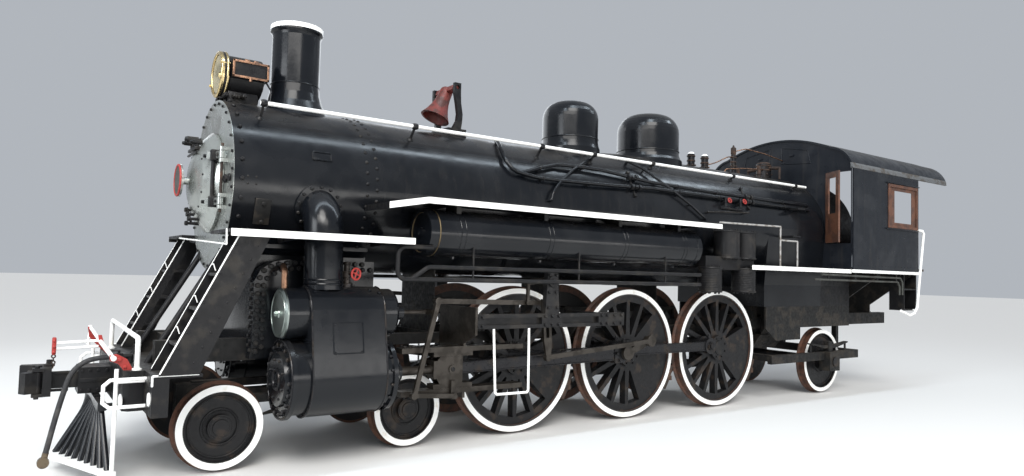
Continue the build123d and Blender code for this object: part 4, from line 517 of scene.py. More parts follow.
def lathe(bm, profile, place, direction, steps=32):
    """Spin a profile of (distance along the axis, radius) about an axis at a place."""
    before = set(bm.verts)
    verts = [bm.verts.new((radius, 0.0, along)) for along, radius in profile]
    edges = [bm.edges.new(pair) for pair in zip(verts, verts[1:])]
    bmesh.ops.spin(
        bm,
        geom=verts + edges,
        cent=(0, 0, 0),
        axis=Z,
        angle=tau,
        steps=steps,
        use_merge=True,
        use_duplicate=False,
    )
    made = [vert for vert in bm.verts if vert not in before]
    bmesh.ops.remove_doubles(bm, verts=made, dist=1e-5)
    made = [vert for vert in bm.verts if vert not in before]
    bmesh.ops.transform(bm, matrix=facing(place, direction), verts=made)


def hoop(bm, place, direction, radius, thick, steps=32, sides=8):
    """A round ring about an axis."""
    profile = []
    for side in range(sides + 1):
        angle = tau * side / sides
        profile.append((thick * sin(angle), radius + thick * cos(angle)))
    lathe(bm, profile, place, direction, steps)


def bolt(bm, place, direction, size, height=None):
    """A hexagon bolt head with its edge eased."""
    height = height or 0.7 * size
    way = Vector(direction).normalized()
    place = Vector(place)
    bar(bm, place - way * 0.004, place + way * height * 0.75, size, sides=6)
    bar(bm, place + way * height * 0.75, place + way * height, size, size * 0.7, sides=6)


def rivet(bm, place, direction, size):
    """A rounded rivet head."""
    turn = facing(place, direction) @ Matrix.Diagonal((1, 1, 0.62, 1))
    bmesh.ops.create_uvsphere(bm, u_segments=8, v_segments=6, radius=size, matrix=turn)


def round_places(centre, direction, radius, count, start=0.0):
    """Points evenly spaced on a circle about an axis."""
    turn = facing(centre, direction)
    for index in range(count):
        angle = tau * (index + start) / count
        yield turn @ Vector((radius * cos(angle), radius * sin(angle), 0.0))


def hand_wheel(bm, hub, way, radius, rim, spokes, spoke, steps, sides):
    """A hand wheel's rim, with its spokes about a hub."""
    hoop(bm, hub, way, radius, rim, steps, sides)
    for place in round_places(hub, way, radius, spokes):
        bar(bm, hub, place, spoke, sides=sides)


def plate(bm, outline, thickness):
    """A flat plate from its outline's points, thickened along a vector."""
    verts = [bm.verts.new(point) for point in outline]
    face = bm.faces.new(verts)
    pushed = bmesh.ops.extrude_face_region(bm, geom=[face])
    moved = [item for item in pushed["geom"] if isinstance(item, bmesh.types.BMVert)]
    bmesh.ops.translate(bm, verts=moved, vec=thickness)


def pipes(name, routes, radius, chosen, body="engine", bend=0.12):
    """Round pipes along routes of points, with a smooth bend at each corner."""
    line = bpy.data.curves.new(name, "CURVE")
    line.dimensions = "3D"
    line.bevel_depth = radius
    line.bevel_resolution = 3
    line.use_fill_caps = True
    for route in routes:
        points = [Vector(route[0])]
        for before, corner, after in zip(route, route[1:], route[2:]):
            before, corner, after = Vector(before), Vector(corner), Vector(after)
            inward, outward = before - corner, after - corner
            points.append(corner + inward.normalized() * min(bend, 0.45 * inward.length))
            points.append(corner)
            points.append(corner + outward.normalized() * min(bend, 0.45 * outward.length))
        points.append(Vector(route[-1]))
        spline = line.splines.new("NURBS")
        spline.points.add(len(points) - 1)
        for spot, point in zip(spline.points, points):
            spot.co = (*(point + SHIFT), 1.0)
        spline.order_u = 3
        spline.use_endpoint_u = True
        spline.resolution_u = 6
    piece = bpy.data.objects.new(name, line)
    bpy.context.scene.collection.objects.link(piece)
    line.materials.append(chosen.material)
    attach(piece, body)
    return piece


# Brake hose
HOSE_Y = 0.430
HOSE_ROUTE = (
    (0.880, HOSE_Y, 1.050),
    (1.010, HOSE_Y, 1.050),
    (1.125, HOSE_Y, 1.003),
    (1.203, HOSE_Y, 0.917),
    (1.252, HOSE_Y, 0.741),
    (1.309, HOSE_Y, 0.488),
    (1.355, HOSE_Y, 0.240),
)
HOSE_R = 0.023


def brake_hose():
    """The rubber hose between the angle cock and its coupling."""
    line = bpy.data.curves.new("front_brake_hose", "CURVE")
    line.dimensions = "3D"
    line.bevel_depth = HOSE_R
    line.bevel_resolution = 6
    line.use_fill_caps = True
    spline = line.splines.new("NURBS")
    spline.points.add(len(HOSE_ROUTE) - 1)
    for spot, point in zip(spline.points, HOSE_ROUTE):
        spot.co = (*(Vector(point) + SHIFT), 1.0)
    spline.order_u = 3
    spline.use_endpoint_u = True
    spline.resolution_u = 12
    hose = bpy.data.objects.new("front_brake_hose", line)
    bpy.context.scene.collection.objects.link(hose)
    line.materials.append(hose_rubber.material)
    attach(hose, "engine")
    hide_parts("brake_hose")
    Vector(HOSE_ROUTE[0]) + SHIFT


brake_hose()


# Smokebox
BOILER_Z = 2.752
SMOKEBOX_R = 0.885
FIREBOX_R = 0.985
DOOR_Z = 2.770
DOOR_R = 0.520
DOOR_CROWN = 0.235
PLATE_FACE = DOOR_CROWN + 0.095
HINGE = (0.046, 0.590)
HINGE_LEVELS = (DOOR_Z + 0.230, DOOR_Z - 0.230)


def on_boiler(x, z, radius):
    """The point of the boiler's left side at a height, and the way out from there."""
    way = Vector((0.0, sqrt(radius**2 - (z - BOILER_Z) ** 2), z - BOILER_Z))
    return Vector((x, way.y, z)), way.normalized()


SHELL_BOLTS_X = -0.075
REAR_SEAM = (-1.470, -1.360)
SIDE_RIVETS = ((-0.130, 2.775), (-0.210, 2.775), (-0.130, 2.705), (-0.210, 2.705))


def smokebox_bolts():
    """A ring of bolts on the front plate, another on the shell behind it, and the rear seam's rivets."""
    bm = bmesh.new()
    for place in round_places((0, 0, BOILER_Z), X, SMOKEBOX_R - 0.040, 30):
        bolt(bm, place, X, 0.016, 0.018)
    centre = Vector((SHELL_BOLTS_X, 0, BOILER_Z))
    for place in round_places(centre, X, SMOKEBOX_R, 30, 0.5):
        bolt(bm, place, place - centre, 0.021, 0.024)
    for x, start in zip(REAR_SEAM, (0.5, 0.0)):
        centre = Vector((x, 0, BOILER_Z))
        for place in round_places(centre, X, SMOKEBOX_R, 46, start):
            rivet(bm, place, place - centre, 0.021)
    for x, z in SIDE_RIVETS:
        rivet(bm, *on_boiler(x, z, SMOKEBOX_R), 0.011)
    add("smokebox_bolts", bm, iron_black)


SHELL_PLATE = (-0.290, 2.446)
BLANK_PLATE = (-0.868, 3.052)


def tilt_of(way):
    """The turn that lays a slab's y side along the way out from the boiler."""
    return Matrix.Rotation(atan2(way.z, way.y), 4, "X")


def shell_plate():
    """A small bolted plate, low on the smokebox's side."""
    bm = bmesh.new()
    x, z = SHELL_PLATE
    place, way = on_boiler(x, z, SMOKEBOX_R)
    inner, outer = Vector((0.075, 0.004, 0.130)), Vector((0.075, 0.022, 0.130))
    slab(bm, place - inner, place + outer, 0.005, tilt_of(way))
    for step in (-0.095, 0.075):
        spot, way = on_boiler(x, z + step, SMOKEBOX_R + 0.018)
        bolt(bm, spot, way, 0.022, 0.026)
    add("shell_plate", bm, frame_black)


def blank_plate():
    """A blank plate with a raised edge, high on the smokebox's side."""
    bm = bmesh.new()
    place, way = on_boiler(*BLANK_PLATE, SMOKEBOX_R)
    tilt = tilt_of(way)
    inner, outer = Vector((0.100, 0.004, 0.048)), Vector((0.100, 0.008, 0.048))
    slab(bm, place - inner, place + outer, 0.003, tilt)
    for low, high in (
        ((-0.100, 0.006, -0.048), (0.100, 0.016, -0.038)),
        ((-0.100, 0.006, 0.038), (0.100, 0.016, 0.048)),
        ((-0.100, 0.006, -0.048), (-0.090, 0.016, 0.048)),
        ((0.090, 0.006, -0.048), (0.100, 0.016, 0.048)),
    ):
        middle = (Vector(low) + Vector(high)) / 2
        spot = place + tilt @ middle
        half = (Vector(high) - Vector(low)) / 2
        slab(bm, spot - half, spot + half, 0.002, tilt)
    add("blank_plate", bm, gloss_black)


# Each cock above the door's plate: y, z and its reach forwards, and each one below it: y and z
UPPER_COCKS = ((-0.200, 3.190, 0.06), (-0.110, 3.230, 0.05), (-0.020, 3.200, 0.07), (0.080, 3.170, 0.04))
LOWER_COCKS = ((-0.100, 2.480), (-0.020, 2.430), (0.060, 2.380), (-0.060, 2.340))


def door_fittings():
    """Rim bolts, hinge strap bolts, and the cocks above and below the smokebox door's plate."""
    bm = bmesh.new()
    for place in round_places((0.030, 0, DOOR_Z), X, DOOR_R - 0.035, 20, 0.5):
        bolt(bm, place, X, 0.014, 0.014)
    for place in round_places((0.165, 0, DOOR_Z), X, 0.340, 12, 0.25):
        rivet(bm, place, X, 0.012)
    for level in HINGE_LEVELS:
        for along, height in ((0.100, 0.110), (0.560, 0.028)):
            bolt(bm, (height + 0.034, 0.30 + 0.42 * along, level), X, 0.020, 0.024)
    slab(bm, (0.150, -0.230, 3.090), (0.205, 0.120, 3.125), 0.006)
    for y, z, reach in UPPER_COCKS:
        bar(bm, (0.170, y, 3.100), (0.175, y, z), 0.016)
        bar(bm, (0.130, y, z), (0.190 + reach, y, z), 0.024, sides=16)
        bolt(bm, (0.190 + reach, y, z), X, 0.020, 0.020)
    bar(bm, (0.195, -0.240, 3.060), (0.195, 0.150, 3.060), 0.013)
    for y, z in LOWER_COCKS:
        bar(bm, (0.060, y, z), (0.215, y, z), 0.020, 0.014)
        bolt(bm, (0.210, y, z), X, 0.028, 0.026)
    bar(bm, (0.205, -0.120, 2.500), (0.205, 0.090, 2.350), 0.012)
    add("door_fittings", bm, iron_black, "smokebox_door")


def door_hinge():
    """The hinge's fixed pin, and the rod with its two lugs on the door."""
    upper, lower = HINGE_LEVELS
    bm = bmesh.new()
    bar(bm, (*HINGE, lower - 0.11), (*HINGE, upper + 0.11), 0.014)
    add("door_hinge_pin", bm, rusty_iron)
    bm = bmesh.new()
    bar(bm, (0.095, 0.455, lower), (0.095, 0.455, upper), 0.020, sides=16)
    for level in HINGE_LEVELS:
        slab(bm, (0.040, 0.420, level - 0.055), (0.125, 0.500, level + 0.055), 0.010)
    add("door_hinge_rod", bm, iron_black, "smokebox_door")


def round_plate():
    """The blank round plate on the door, with its red rim."""
    bm = bmesh.new()
    disc = [(0.0, 0.0), (0.0, 0.145), (0.004, 0.150), (0.004, 0.0)]
    lathe(bm, disc, (PLATE_FACE, 0, DOOR_Z), X, 48)
    add("round_plate", bm, olive_iron, "smokebox_door")
    bm = bmesh.new()
    hoop(bm, (PLATE_FACE, 0, DOOR_Z), X, 0.156, 0.012, 48)
    add("round_plate_rim", bm, red_paint, "smokebox_door")


def front_latch():
    """A hooked latch on the front plate, beside the door."""
    bm = bmesh.new()
    hoop(bm, (0.016, 0.775, DOOR_Z - 0.010), X, 0.026, 0.012, 16)
    slab(bm, (0.004, 0.640, DOOR_Z - 0.022), (0.026, 0.760, DOOR_Z + 0.006), 0.004)
    hoop(bm, (0.016, 0.615, DOOR_Z - 0.008), X, 0.030, 0.014, 16)
    add("front_latch", bm, iron_black)


smokebox_bolts()
shell_plate()
blank_plate()
door_fittings()
door_hinge()
round_plate()
front_latch()


# Headlight
LIGHT_Z = 3.925
BOX_HALF = 0.290


def headlight_glow():
    """The double ring, the reflector and the lamp."""
    bm = bmesh.new()
    for x, radius, thick in ((-0.004, 0.226, 0.017), (-0.058, 0.236, 0.015)):
        hoop(bm, (x, 0, LIGHT_Z), X, radius, thick, 64, 12)
    for angle in (20, 200):
        way = Vector((0, cos(radians(angle)), sin(radians(angle))))
        spot = Vector((-0.030, 0, LIGHT_Z)) + way * 0.240
        bar(bm, spot - X * 0.050, spot + X * 0.045, 0.010)
        bolt(bm, spot + X * 0.040, X, 0.015, 0.016)
    add("headlight_rings", bm, brass)
    bm = bmesh.new()
    dish = [(-0.055, 0.0), (-0.052, 0.060), (-0.042, 0.120), (-0.024, 0.170), (-0.006, 0.200)]
    lathe(bm, dish, (0, 0, LIGHT_Z), X, 64)
    add("headlight_reflector", bm, lamp_cream)
    bm = bmesh.new()
    lathe(bm, [(-0.052, 0.030), (-0.030, 0.034), (-0.012, 0.022), (-0.008, 0.0)], (0, 0, LIGHT_Z), X, 24)
    add("headlight_lamp", bm, brass)


def number_board_frames():
    """Copper frames round the two blank number boards, with lugs on top and a stub below."""
    bm = bmesh.new()
    front, rear, low, high = -0.098, -0.447, LIGHT_Z - 0.052, LIGHT_Z + 0.107
    for side in (1, -1):
        inner, outer = side * (BOX_HALF - 0.006), side * (BOX_HALF + 0.012)
        for start, end in (
            ((front, low), (rear, low)),
            ((front, high), (rear, high)),
            ((front, low), (front, high)),
            ((rear, low), (rear, high)),
        ):
            corner_x, corner_z = min(start[0], end[0]), min(start[1], end[1])
            far_x, far_z = max(start[0], end[0]), max(start[1], end[1])
            slab(
                bm,
                (corner_x - 0.011, min(inner, outer), corner_z - 0.011),
                (far_x + 0.011, max(inner, outer), far_z + 0.011),
                0.003,
            )
        for x in (-0.230, -0.320):
            slab(
                bm,
                (x - 0.024, min(inner, outer), high + 0.004),
                (x + 0.024, max(inner, outer), high + 0.026),
                0.004,
            )
        bar(bm, (-0.270, side * 0.292, low - 0.004), (-0.270, side * 0.292, low - 0.040), 0.016, sides=16)
    add("number_board_frames", bm, copper)


def headlight_bracket():
    """The bracket and the pipe ends under the headlight."""
    bm = bmesh.new()
    for side in (1, -1):
        for x, y, z in ((-0.060, 0.150, 3.690), (-0.140, 0.200, 3.680), (-0.230, 0.215, 3.685)):
            bar(bm, (x, side * (y - 0.06), z), (x, side * (y + 0.03), z), 0.026, sides=16)
            bolt(bm, (x, side * (y + 0.03), z), Y * side, 0.024, 0.022)
        slab(
            bm,
            (-0.380, side * 0.150 - 0.014, 3.575),
            (-0.080, side * 0.150 + 0.014, 3.735),
            0.004,
        )
        bar(bm, (-0.020, side * 0.06, 3.672), (-0.200, side * 0.190, 3.672), 0.014)
    add("headlight_bracket", bm, iron_black)


def headlight_wires():
    """A wire down each side of the headlight's box."""
    for side, label in SIDES:
        wire = [
            (-0.440, side * 0.240, 3.870),
            (-0.500, side * 0.250, 3.780),
            (-0.485, side * 0.270, 3.660),
            (-0.440, side * 0.290, 3.575),
        ]
        pipes(f"headlight_wire_{label}", [wire], 0.010, gloss_black)


headlight_glow()
number_board_frames()
headlight_bracket()
headlight_wires()


# Boiler handrail
RAIL_PLACE = (0.711, 3.540)
STANCHIONS = (-0.300, -1.985, -3.800, -4.690, -5.815, -7.630, -9.310)
COLLAR = [(-0.034, 0.021), (-0.030, 0.030), (-0.012, 0.037), (0.012, 0.037), (0.030, 0.030), (0.034, 0.021)]
POST_FOOT = [(0.0, 0.0), (0.0, 0.044), (0.014, 0.042), (0.034, 0.020), (0.036, 0.0)]
# The boiler is wider behind each of these places
SHELL_END, BARREL_END = -4.0, -5.6
BARREL_STEP = 0.040


def rail_collars():
    """Dark collars where the boiler handrail passes its posts, with a foot to each post."""
    bm = bmesh.new()
    y, z = RAIL_PLACE
    out = Vector((0, y, z - BOILER_Z)).normalized()
    for x in STANCHIONS:
        if x > SHELL_END:
            radius = SMOKEBOX_R
        elif x < BARREL_END:
            radius = FIREBOX_R
        else:
            radius = SMOKEBOX_R + BARREL_STEP
        for side in (1, -1):
            lathe(bm, COLLAR, Vector((x, side * y, z)), X, 16)
            way = Vector((0, side * out.y, out.z))
            foot = Vector((x, 0, BOILER_Z)) + way * (radius - 0.012)
            lathe(bm, POST_FOOT, foot, way, 16)
    add("rail_collars", bm, iron_black)


rail_collars()


# Steam pipes
STEAM_X, STEAM_Y = -0.850, 1.070
# Where the pipe's middle leaves the smokebox, out and up from the boiler's middle
STEAM_WAY = (0.851, -0.236)
FLANGE_STANDS = 0.024
FLANGE_BOLTS, FLANGE_RING = 14, 0.222


def steam_pipe_bolts():
    """Bolts round the flange where each steam pipe leaves the smokebox."""
    bm = bmesh.new()
    ring = SMOKEBOX_R + FLANGE_STANDS
    middle = atan2(*STEAM_WAY)
    for side in (1, -1):
        for index in range(FLANGE_BOLTS):
            turn = tau * (index + 0.5) / FLANGE_BOLTS
            arc = middle + FLANGE_RING * sin(turn) / ring
            way = Vector((0, side * sin(arc), cos(arc)))
            spot = Vector((STEAM_X + FLANGE_RING * cos(turn), 0, BOILER_Z)) + way * ring
            bolt(bm, spot, way, 0.018, 0.020)
    add("steam_pipe_bolts", bm, iron_black)


def steam_pipe_bands():
    """Two bands round the foot of each steam pipe."""
    bm = bmesh.new()
    for side in (1, -1):
        for z in (1.800, 1.760):
            hoop(bm, (STEAM_X, side * STEAM_Y, z), Z, 0.190, 0.010, 40)
    add("steam_pipe_bands", bm, gloss_black)


steam_pipe_bolts()
steam_pipe_bands()


# Saddle and cylinders
CYLINDER_Y, CYLINDER_Z, VALVE_Z = 1.080, 0.850, 1.470
CYLINDER_FRONT, CYLINDER_REAR = -0.500, -1.500
JACKET_FRONT, JACKET_REAR = -0.640, -1.400
CASE_R, CHEST_R = 0.375, 0.265
CHEEK_OUT = 0.800
# The edge of a saddle casting, as x and z from its foot
CASTING_EDGE = (
    (-0.290, 1.070), (-0.290, 1.770), (-0.340, 1.870), (-0.440, 1.935), (-0.590, 1.958), (-1.420, 1.958),
)
UPRIGHT_X = -0.300


def along_route(route, spacing, start):
    """Points evenly spaced along a route of straight runs."""
    along = start
    for before, after in zip(route, route[1:]):
        length = (after - before).length
        while along <= length:
            yield before + (after - before) * (along / length)
            along += spacing
        along -= length


def casting_bolts():
    """Two staggered rows of bolts round the edge of each saddle casting, and two down its front."""
    bm = bmesh.new()
    for inset, count, start in ((0.0, 24, 0.25), (0.055, 22, 0.75)):
        route = [Vector((x - inset, z - (inset if x < UPRIGHT_X else 0.0))) for x, z in CASTING_EDGE]
        spacing = sum((after - before).length for before, after in zip(route, route[1:])) / count
        for spot in along_route(route, spacing, start * spacing):
            for side in (1, -1):
                bolt(bm, (spot.x, side * CHEEK_OUT, spot.y), Y * side, 0.026, 0.030)
    for z in (1.10, 1.19, 1.28, 1.37, 1.46, 1.55, 1.64, 1.73):
        for side in (1, -1):
            bolt(bm, (-0.255, side * 0.762, z), X, 0.019, 0.022)
            bolt(bm, (-0.255, side * 0.705, z + 0.045), X, 0.019, 0.022)
    add("casting_bolts", bm, iron_black)


def cylinder_head_bolts():
    """Bolts round the front and rear heads of each cylinder, with two rings on the front one."""
    bm = bmesh.new()
    for side in (1, -1):
        middle = Vector((0.0, side * CYLINDER_Y, CYLINDER_Z))
        front = middle + X * CYLINDER_FRONT
        for place in round_places(front + X * 0.045, X, 0.325, 18, 0.5):
            bolt(bm, place, X, 0.021, 0.030)
        for place in round_places(front + X * 0.080, X, 0.190, 8, 0.5):
            bolt(bm, place, X, 0.013, 0.014)
        hoop(bm, front + X * 0.082, X, 0.090, 0.014, 32)
        hoop(bm, front + X * 0.048, X, 0.372, 0.010, 48)
        for place in round_places(middle + X * (CYLINDER_REAR + 0.030), X, 0.362, 16, 0.5):
            if abs(place.y) > 0.90:
                bolt(bm, place, X, 0.014, 0.024)
    add("cylinder_head_bolts", bm, dark_steel)


def valve_cover_trim():
    """A ring and a capped nut on each polished valve cover."""
    bm = bmesh.new()
    for side in (1, -1):
        centre = Vector((CYLINDER_FRONT + 0.090, side * CYLINDER_Y, VALVE_Z))
        hoop(bm, centre, X, 0.205, 0.006, 48)
        lathe(bm, [(0.0, 0.0), (0.0, 0.048), (0.010, 0.044), (0.012, 0.0)], centre, X, 24)
        bolt(bm, centre + X * 0.010, X, 0.028, 0.030)
    add("valve_cover_trim", bm, polished)


def jacket_bands():
    """A band at each end of the cylinders' jackets, round the valve chest and the cylinder."""
    bm = bmesh.new()
    lean = asin((CASE_R - CHEST_R) / (VALVE_Z - CYLINDER_Z))
    for side in (1, -1):
        for x in (JACKET_FRONT - 0.006, JACKET_REAR + 0.006):
            band = []
            for step in range(9):
                angle = pi / 2 - (pi / 2 - lean) * step / 8
                band.append((CHEST_R * cos(angle), VALVE_Z + CHEST_R * sin(angle)))
            for step in range(9):
                angle = lean - (pi / 2 + lean) * step / 8
                band.append((CASE_R * cos(angle), CYLINDER_Z + CASE_R * sin(angle)))
            for before, after in zip(band, band[1:]):
                bar(
                    bm,
                    (x, side * (CYLINDER_Y + before[0]), before[1]),
                    (x, side * (CYLINDER_Y + after[0]), after[1]),
                    0.009,
                    sides=8,
                )
    add("jacket_bands", bm, dark_steel)


def jacket_panels():
    """A raised panel with its screws on each jacket's flat side, and bolts over the valve chest."""
    bm = bmesh.new()
    low, high = Vector((1.449, 0.9165)), Vector((1.341, 1.517))
    down = (low - high).normalized()
    for side in (1, -1):
        corners = []
        for x in (-0.850, -1.150):
            for z in (1.395, 1.105):
                y = low.x - (z - low.y) * (low.x - high.x) / (high.y - low.y)
                corners.append(Vector((x, side * y, z)))
        for first, second in ((0, 1), (2, 3), (0, 2), (1, 3)):
            bar(bm, corners[first], corners[second], 0.007, sides=8)
        out = Vector((0, -down.y * side, down.x)).normalized()
        for corner in corners:
            rivet(bm, corner + (corners[0] + corners[3] - 2 * corner) * 0.06, out, 0.010)
        for x, angle in ((-0.70, 52), (-0.82, 58), (-1.27, 58), (-1.36, 50)):
            way = Vector((0, side * cos(radians(angle)), sin(radians(angle))))
            spot = Vector((x, side * CYLINDER_Y, VALVE_Z)) + way * CHEST_R
            bolt(bm, spot, way, 0.019, 0.022)
    add("jacket_panel", bm, gloss_black)


RELIEF_X = -1.080
RELIEF_BODY = [
    (-0.02, 0.0), (-0.02, 0.062), (0.030, 0.062), (0.034, 0.042), (0.090, 0.040), (0.095, 0.055),
    (0.150, 0.055), (0.156, 0.030), (0.215, 0.028), (0.220, 0.040), (0.245, 0.036), (0.250, 0.0),
]


def relief_valves():
    """A relief valve with a red hand wheel on each valve chest."""
    bm = bmesh.new()
    for side in (1, -1):
        lathe(bm, RELIEF_BODY, (RELIEF_X, side * CYLINDER_Y, VALVE_Z + CHEST_R), Z, 20)
        bar(bm, (RELIEF_X, side * 1.100, 1.862), (-1.120, side * 1.215, 1.862), 0.014)
        for place in round_places((RELIEF_X, side * CYLINDER_Y, 1.765), Z, 0.052, 6):
            bolt(bm, place, Z, 0.010, 0.012)
    add("relief_valves", bm, dark_steel)
    bm = bmesh.new()
    for side in (1, -1):
        way = Vector((-0.33, side * 0.94, 0.0)).normalized()
        hub = Vector((-1.122, side * 1.222, 1.862))
        hand_wheel(bm, hub, way, 0.056, 0.010, 4, 0.007, 24, 8)
        rivet(bm, hub, way, 0.018)
    add("relief_valve_wheels", bm, red_paint)


def oil_pipes():
    """A copper oil pipe in front of each steam pipe."""
    for side, label in SIDES:
        route = [(-0.480, side * 1.020, 1.660), (-0.480, side * 1.010, 1.880), (-0.530, side * 0.790, 1.930)]
        pipes(f"oil_pipe_{label}", [route], 0.030, copper, bend=0.07)


casting_bolts()
cylinder_head_bolts()
valve_cover_trim()
jacket_bands()
jacket_panels()
relief_valves()
oil_pipes()


# Pilot, stairs and buffer beam
STAIR_OUT, STAIR_IN = 1.395, 1.000
STAIR_HOOKS = (0.300, 0.530, 0.770)
DECK_TOP = 0.985


# Outlines of the lifting brackets, as x and z
NEAR_BRACKET = (
    (0.770, DECK_TOP), (0.845, DECK_TOP), (0.885, 1.040), (0.950, 1.070), (0.955, 1.115), (0.900, 1.125),
    (0.820, 1.080),
)
SLIM_BRACKET = (
    (0.800, DECK_TOP), (0.845, DECK_TOP), (0.960, 1.120), (0.975, 1.225), (0.945, 1.225), (0.925, 1.150),
)
LINK_X = 1.317


def lifting_rods():
    """The white lifting rods, and the buttons on the beam and the steps."""
    bm = bmesh.new()
    right, middle, left = (0.945, -0.985, 1.215), (0.953, 0.130, 1.165), (0.930, 0.965, 1.095)
    bar(bm, right, middle, 0.017, sides=16)
    bar(bm, middle, left, 0.019, sides=16)
    for end in (right, left):
        rivet(bm, end, Y, 0.024)
    bar(bm, (0.953, 0.105, 1.172), (1.318, 0.020, 1.152), 0.013)
    bar(bm, (0.965, 0.105, 1.118), (1.300, 0.020, 1.098), 0.013)
    bar(bm, right, (0.955, -1.000, 1.010), 0.016)
    for x, y, z, radius, depth in ((0.848, 0.900, 0.716, 0.062, 0.022), (0.688, 1.300, 0.785, 0.052, 0.020)):
        button = [
            (0.0, 0.0), (0.0, radius), (0.010, radius + 0.006), (depth - 0.002, radius), (depth, 0.0),
        ]
        for side in (1, -1):
            lathe(bm, button, (x, side * y, z), X, 32)
    add("lifting_rods", bm, white_paint)


def lifting_brackets():
    """Three red brackets that carry the rods, and the red link over the coupler."""
    bm = bmesh.new()
    for low, high, shape in (
        (0.865, 0.905, NEAR_BRACKET),
        (0.110, 0.140, SLIM_BRACKET),
        (-0.925, -0.895, SLIM_BRACKET),
    ):
        plate(bm, [Vector((x, low, z)) for x, z in shape], (0, high - low, 0))
        bolt(bm, (0.835, high, 1.015), Y, 0.014, 0.014)
    bolt(bm, (0.880, 0.905, 1.080), Y, 0.020, 0.020)
    slab(bm, (1.300, -0.006, 1.045), (1.334, 0.046, 1.205), 0.010)
    for z in (1.175, 1.120, 1.070):
        rivet(bm, (LINK_X, 0.046, z), Y, 0.016)
    add("lifting_brackets", bm, red_paint)


def pin_chain():
    """The short chain from the link to the coupler's pin."""
    bm = bmesh.new()
    for index, z in enumerate((1.030, 1.000, 0.972, 0.946)):
        hoop(bm, (LINK_X, 0.018, z), X if index % 2 else Y, 0.015, 0.006, 12, 6)
    bar(bm, (LINK_X, 0.018, 0.935), (1.345, 0.018, 0.930), 0.018)
    add("pin_chain", bm, rusty_iron)


def deck_rail():
    """The white rail across the front deck."""
    feet = 0.930
    route = [(0.745, feet, DECK_TOP), (0.745, feet, 1.262), (0.745, -feet, 1.290), (0.745, -feet, DECK_TOP)]
    pipes("deck_rail", [route], 0.022, white_paint, bend=0.09)
    bm = bmesh.new()
    for side in (1, -1):
        lathe(
            bm,
            [(0.0, 0.0), (0.0, 0.040), (0.016, 0.040), (0.020, 0.026), (0.034, 0.024)],
            (0.745, side * feet, DECK_TOP - 0.002),
            Z,
            20,
        )
    add("deck_rail_feet", bm, white_paint)


def stair_lines():
    """White lines along the stairs' edges and the deck, with hooks and a brace."""
    bm = bmesh.new()
    foot, head = Vector((0.640, 0, 1.000)), Vector((0.050, 0, 2.195))
    for side in (1, -1):
        for y in (STAIR_OUT, STAIR_IN):
            step = Y * side * y
            bar(bm, foot + step, head + step, 0.0065, sides=8)
        bar(bm, (0.330, side * 1.380, DECK_TOP), (0.690, side * 1.380, DECK_TOP), 0.009, sides=8)
        bar(bm, (0.690, side * 1.380, DECK_TOP), (0.690, side * 1.380, 0.900), 0.009, sides=8)
        edge = Y * (STAIR_IN if side > 0 else -STAIR_OUT)
        for share in STAIR_HOOKS:
            corner = foot + edge + (head - foot) * share
            reach = corner + Vector((0.0, 0.070, 0.004))
            bar(bm, corner, reach, 0.0055, sides=8)
            bar(bm, reach, reach - Vector((0.020, 0.0, 0.060)), 0.0055, sides=8)
    brace = ((0.150, -0.748, 2.204), (0.150, 1.354, 2.102), (0.150, 1.340, 2.238))
    for start, end in zip(brace, brace[1:]):
        bar(bm, start, end, 0.008, sides=8)
    add("stair_lines", bm, white_paint)


def stair_rivets():
    """Rivets down each string of the stairs."""
    bm = bmesh.new()
    for side in (1, -1):
        for index in range(9):
            share = (index + 0.5) / 9
            for x in (0.600, 0.410):
                spot = Vector((x, side * STAIR_OUT, 1.020)) + Vector((-0.555, 0, 1.140)) * share
                rivet(bm, spot, Y * side, 0.011)
    add("stair_rivets", bm, iron_black)


def coupler_details():
    """Bolts, a lock pin and cast ribs on the coupler."""
    bm = bmesh.new()
    for side in (1, -1):
        for x in (0.890, 0.960, 1.030, 1.090):
            for z in (0.720, 0.900):
                bolt(bm, (x, side * 0.155, z), Y * side, 0.015, 0.016)
        slab(bm, (0.880, side * 0.150 - 0.012, 0.790), (1.110, side * 0.150 + 0.012, 0.830), 0.005)
    pin_head = [(0.0, 0.0), (0.0, 0.045), (0.020, 0.045), (0.026, 0.026), (0.060, 0.024), (0.064, 0.0)]
    lathe(bm, pin_head, (1.345, 0.0, 0.938), Z, 20)
    for z in (0.725, 0.885):
        slab(bm, (1.190, 0.060, z - 0.012), (1.335, 0.086, z + 0.012), 0.004)
    add("coupler_details", bm, iron_black)


lifting_rods()
lifting_brackets()
pin_chain()
deck_rail()
stair_lines()
stair_rivets()
coupler_details()


# Boiler side
def boiler_radius(x):
    """The boiler's radius at a place along it."""
    share = min(1.0, max(0.0, (-4.200 - x) / 1.400))
    return SMOKEBOX_R + (FIREBOX_R - SMOKEBOX_R) * share


def beside(x, z, out, side=1):
    """A point off the boiler's surface at a height, on the left or right side."""
    place, way = on_boiler(x, z, boiler_radius(x))
    place += way * out
    return Vector((place.x, side * place.y, place.z))


